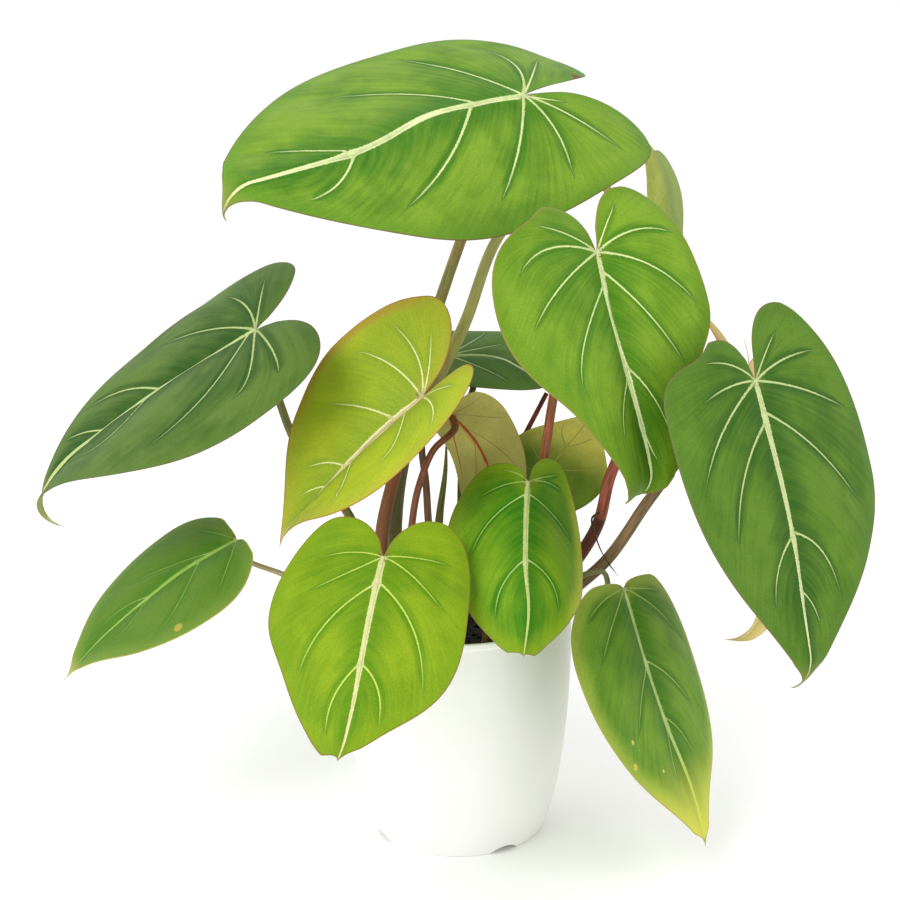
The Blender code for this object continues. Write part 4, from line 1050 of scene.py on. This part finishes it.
soilMake = {  # mm; chunks: loose crumbs on top, and their sizes
    "top": 137.0, "crown": 2.0, "gap": 0.3, "rings": 44, "columns": 120, "crease": 40,
    "levels": (130.0, 105.0, 80.0, 58.0, 40.0, 25.0, 14.0),
    "chunks": 420, "chunkSizes": (0.9, 1.1, 1.4, 1.8, 2.4), "seed": 5,
}


def soilSkin():
    # peat and bark: rough, crumbs of different browns about 2.5 mm wide; all darkened nearly to black as
    # painted shade, for the shade the mix lies in under the leaves
    skin = newSkin("potting mix with painted shade", {"IOR": 1.4, "Roughness": 0.9})
    place = addNode(skin, "TexCoord", {}).outputs["Object"]
    crumbs = addNode(skin, "TexVoronoi", {"Vector": place, "Scale": 420.0}).outputs["Color"]
    crumbTone = addNode(skin, "SeparateColor", {0: crumbs})
    # painted shade: the browns of the mix are darkened nearly to black
    colour = tintWhere(skin, "0F0D09", crumbTone, 0.0, 0.55, "19160F", blend="LINEAR")
    colour = tintWhere(skin, colour, crumbTone, 0.55, 1.0, "2C2418", blend="LINEAR")
    grit = addNode(skin, "TexNoise", {"Vector": place, "Scale": 900.0, "Detail": 4.0})
    relief = addNode(skin, "Bump", {"Strength": 0.8, "Distance": 0.0008, "Height": grit})
    return finishSkin(skin, {"Base Color": colour, "Normal": relief})


def crumbMesh(place, size, draw):
    # one crumb of bark or peat: a lumpy ball, stretched and turned at random
    work = bmesh.new()
    bmesh.ops.create_icosphere(work, subdivisions=1, radius=1.0)
    stretch = [draw.uniform(0.6, 1.3) for _ in range(3)]
    angle = draw.uniform(0, math.pi)
    axis = Vector((draw.uniform(-1, 1), draw.uniform(-1, 1), 0.5)).normalized()
    turn = Matrix.Rotation(angle, 3, axis)
    offset = Vector((draw.uniform(0, 50), draw.uniform(0, 50), 0))
    points = []
    for vert in work.verts:
        bump = 1 + 0.45 * noise.noise(vert.co * 1.7 + offset)
        points.append(turn @ Vector([c * s * bump * size for c, s in zip(vert.co, stretch)]) + Vector(place))
    faces = [[v.index for v in face.verts] for face in work.faces]
    work.free()
    return np.array(points), faces


def soilBody(edge):
    # crowned top with crumbly waves, and a skirt down the inside of the pot
    top, crown, gap = (soilMake[key] for key in ("top", "crown", "gap"))
    rings, columns = soilMake["rings"], soilMake["columns"]
    angles = np.linspace(0, 2 * math.pi, columns, endpoint=False)
    points = [[0, 0, top + crown]]
    for radius in edge * np.linspace(0, 1, rings + 1)[1:]:
        share = radius / edge
        for angle in angles:
            x, y = radius * math.cos(angle), radius * math.sin(angle)
            height = top + crown * (1 - share ** 2) - 0.9 * share ** 8
            rough = noise.fractal(Vector((x, y, 3.0)) * 0.16, 0.7, 2.1, 4) * 1.3
            height += min(0.9, rough) * (1 - 0.7 * share ** 6) - 0.5
            points.append([x, y, height])
    floor = potSizes["floorTop"] + gap
    skirt = [(innerRadius(z) - gap - 0.15, z) for z in soilMake["levels"]]
    lowest = innerRadius(soilMake["levels"][-1])
    skirt += [(lowest - 3.5, floor + 2.2), (lowest - 6.5, floor)]
    for radius, height in skirt:
        points += [[radius * math.cos(a), radius * math.sin(a), height] for a in angles]
    points.append([0, 0, floor])
    faces = []
    for k in range(columns):
        after = (k + 1) % columns
        faces.append([0, 1 + k, 1 + after])
        for ring in range(rings + len(skirt) - 1):
            low, high = 1 + ring * columns, 1 + (ring + 1) * columns
            faces.append([low + k, high + k, high + after, low + after])
        last = 1 + (rings + len(skirt) - 1) * columns
        faces.append([last + k, len(points) - 1, last + after])
    return np.array(points), faces


def makeSoil():
    top, crown = soilMake["top"], soilMake["crown"]
    edge = innerRadius(top) - soilMake["gap"]
    parts = [soilBody(edge)]
    draw = random.Random(soilMake["seed"])
    roots = [(stem["root"], stem["radii"][0]) for stem in [*petioles.values(), spear, bareStalk]]
    while len(parts) < soilMake["chunks"]:
        radius, angle = (edge - 3.5) * math.sqrt(draw.random()), draw.uniform(0, 2 * math.pi)
        x, y = radius * math.cos(angle), radius * math.sin(angle)
        size = draw.choice(soilMake["chunkSizes"])
        if any(math.hypot(x - root[0], y - root[1]) < thick + size * 1.4 for root, thick in roots):
            continue
        height = top + crown * (1 - (radius / edge) ** 2) - 0.4
        parts.append(crumbMesh((x, y, height), size, draw))
    points, faces = mergeParts(parts)
    addPiece("pottingMix", "potting_mix", "potting_mix", points, faces, [soilSkin()],
             crease=soilMake["crease"])


makeSoil()
print("potting mix done")


# Studio

studio = {  # m, degrees, mm of focal length, W
    "camera": (-0.0018, -1.35, 0.6207), "pitch": 15.27, "roll": -1.08, "lens": 89.36, "sensor": 36,
    "world": 1.03, "floor": 12.0,
    "lights": (  # name, place, what it is turned to, size, power
        ("keyLight", (-0.9, -1.2, 1.5), (0, 0, 0.3), 1.3, 22.0),
        ("fillLight", (1.3, -0.8, 0.9), (0, 0, 0.25), 1.2, 5.0)),
}


def makeFloor():
    # matt white paper, lit from all round, with a faint fibre about 3 mm wide
    work = bmesh.new()
    bmesh.ops.create_grid(work, x_segments=24, y_segments=24, size=studio["floor"])
    mesh = bpy.data.meshes.new("studioFloor")
    work.to_mesh(mesh)
    work.free()
    skin = newSkin("white paper sweep", {"Roughness": 0.9, "IOR": 1.3})
    place = addNode(skin, "TexCoord", {}).outputs["Object"]
    fibre = addNode(skin, "TexNoise", {"Vector": place, "Scale": 300.0, "Detail": 2.0})
    colour = tintWhere(skin, "FDFDFD", fibre, 0.0, 1.0, "FEFEFE", blend="LINEAR")
    mesh.materials.append(finishSkin(skin, {"Base Color": colour}))
    addObject("studioFloor", mesh)


def makeLight(name, place, target, size, power):
    data = bpy.data.lights.new(name, "AREA")
    data.shape = "DISK"
    data.size = size
    data.energy = power
    light = addObject(name, data)
    light.location = place
    light.rotation_euler = (Vector(target) - Vector(place)).to_track_quat("-Z", "Y").to_euler()


def makeCamera():
    pitch, roll = math.radians(studio["pitch"]), math.radians(studio["roll"])
    forward = Vector((0, math.cos(pitch), -math.sin(pitch)))
    level = Vector((1, 0, 0))
    right = level * math.cos(roll) + level.cross(forward) * math.sin(roll)
    data = bpy.data.cameras.new("photoCamera")
    data.sensor_width = studio["sensor"]
    data.lens = studio["lens"]
    camera = addObject("photoCamera", data)
    turn = Matrix((right, right.cross(forward), -forward)).transposed().to_4x4()
    camera.matrix_world = Matrix.Translation(studio["camera"]) @ turn
    bpy.context.scene.camera = camera


def makeWorld():
    world = bpy.data.worlds.new("studioWorld")
    world.use_nodes = True
    background = world.node_tree.nodes["Background"]
    background.inputs["Color"].default_value = (1, 1, 1, 1)
    background.inputs["Strength"].default_value = studio["world"]
    bpy.context.scene.world = world
    bpy.context.scene.view_settings.view_transform = "Standard"


makeFloor()
for light in studio["lights"]:
    makeLight(*light)
makeCamera()
makeWorld()
print("studio done")
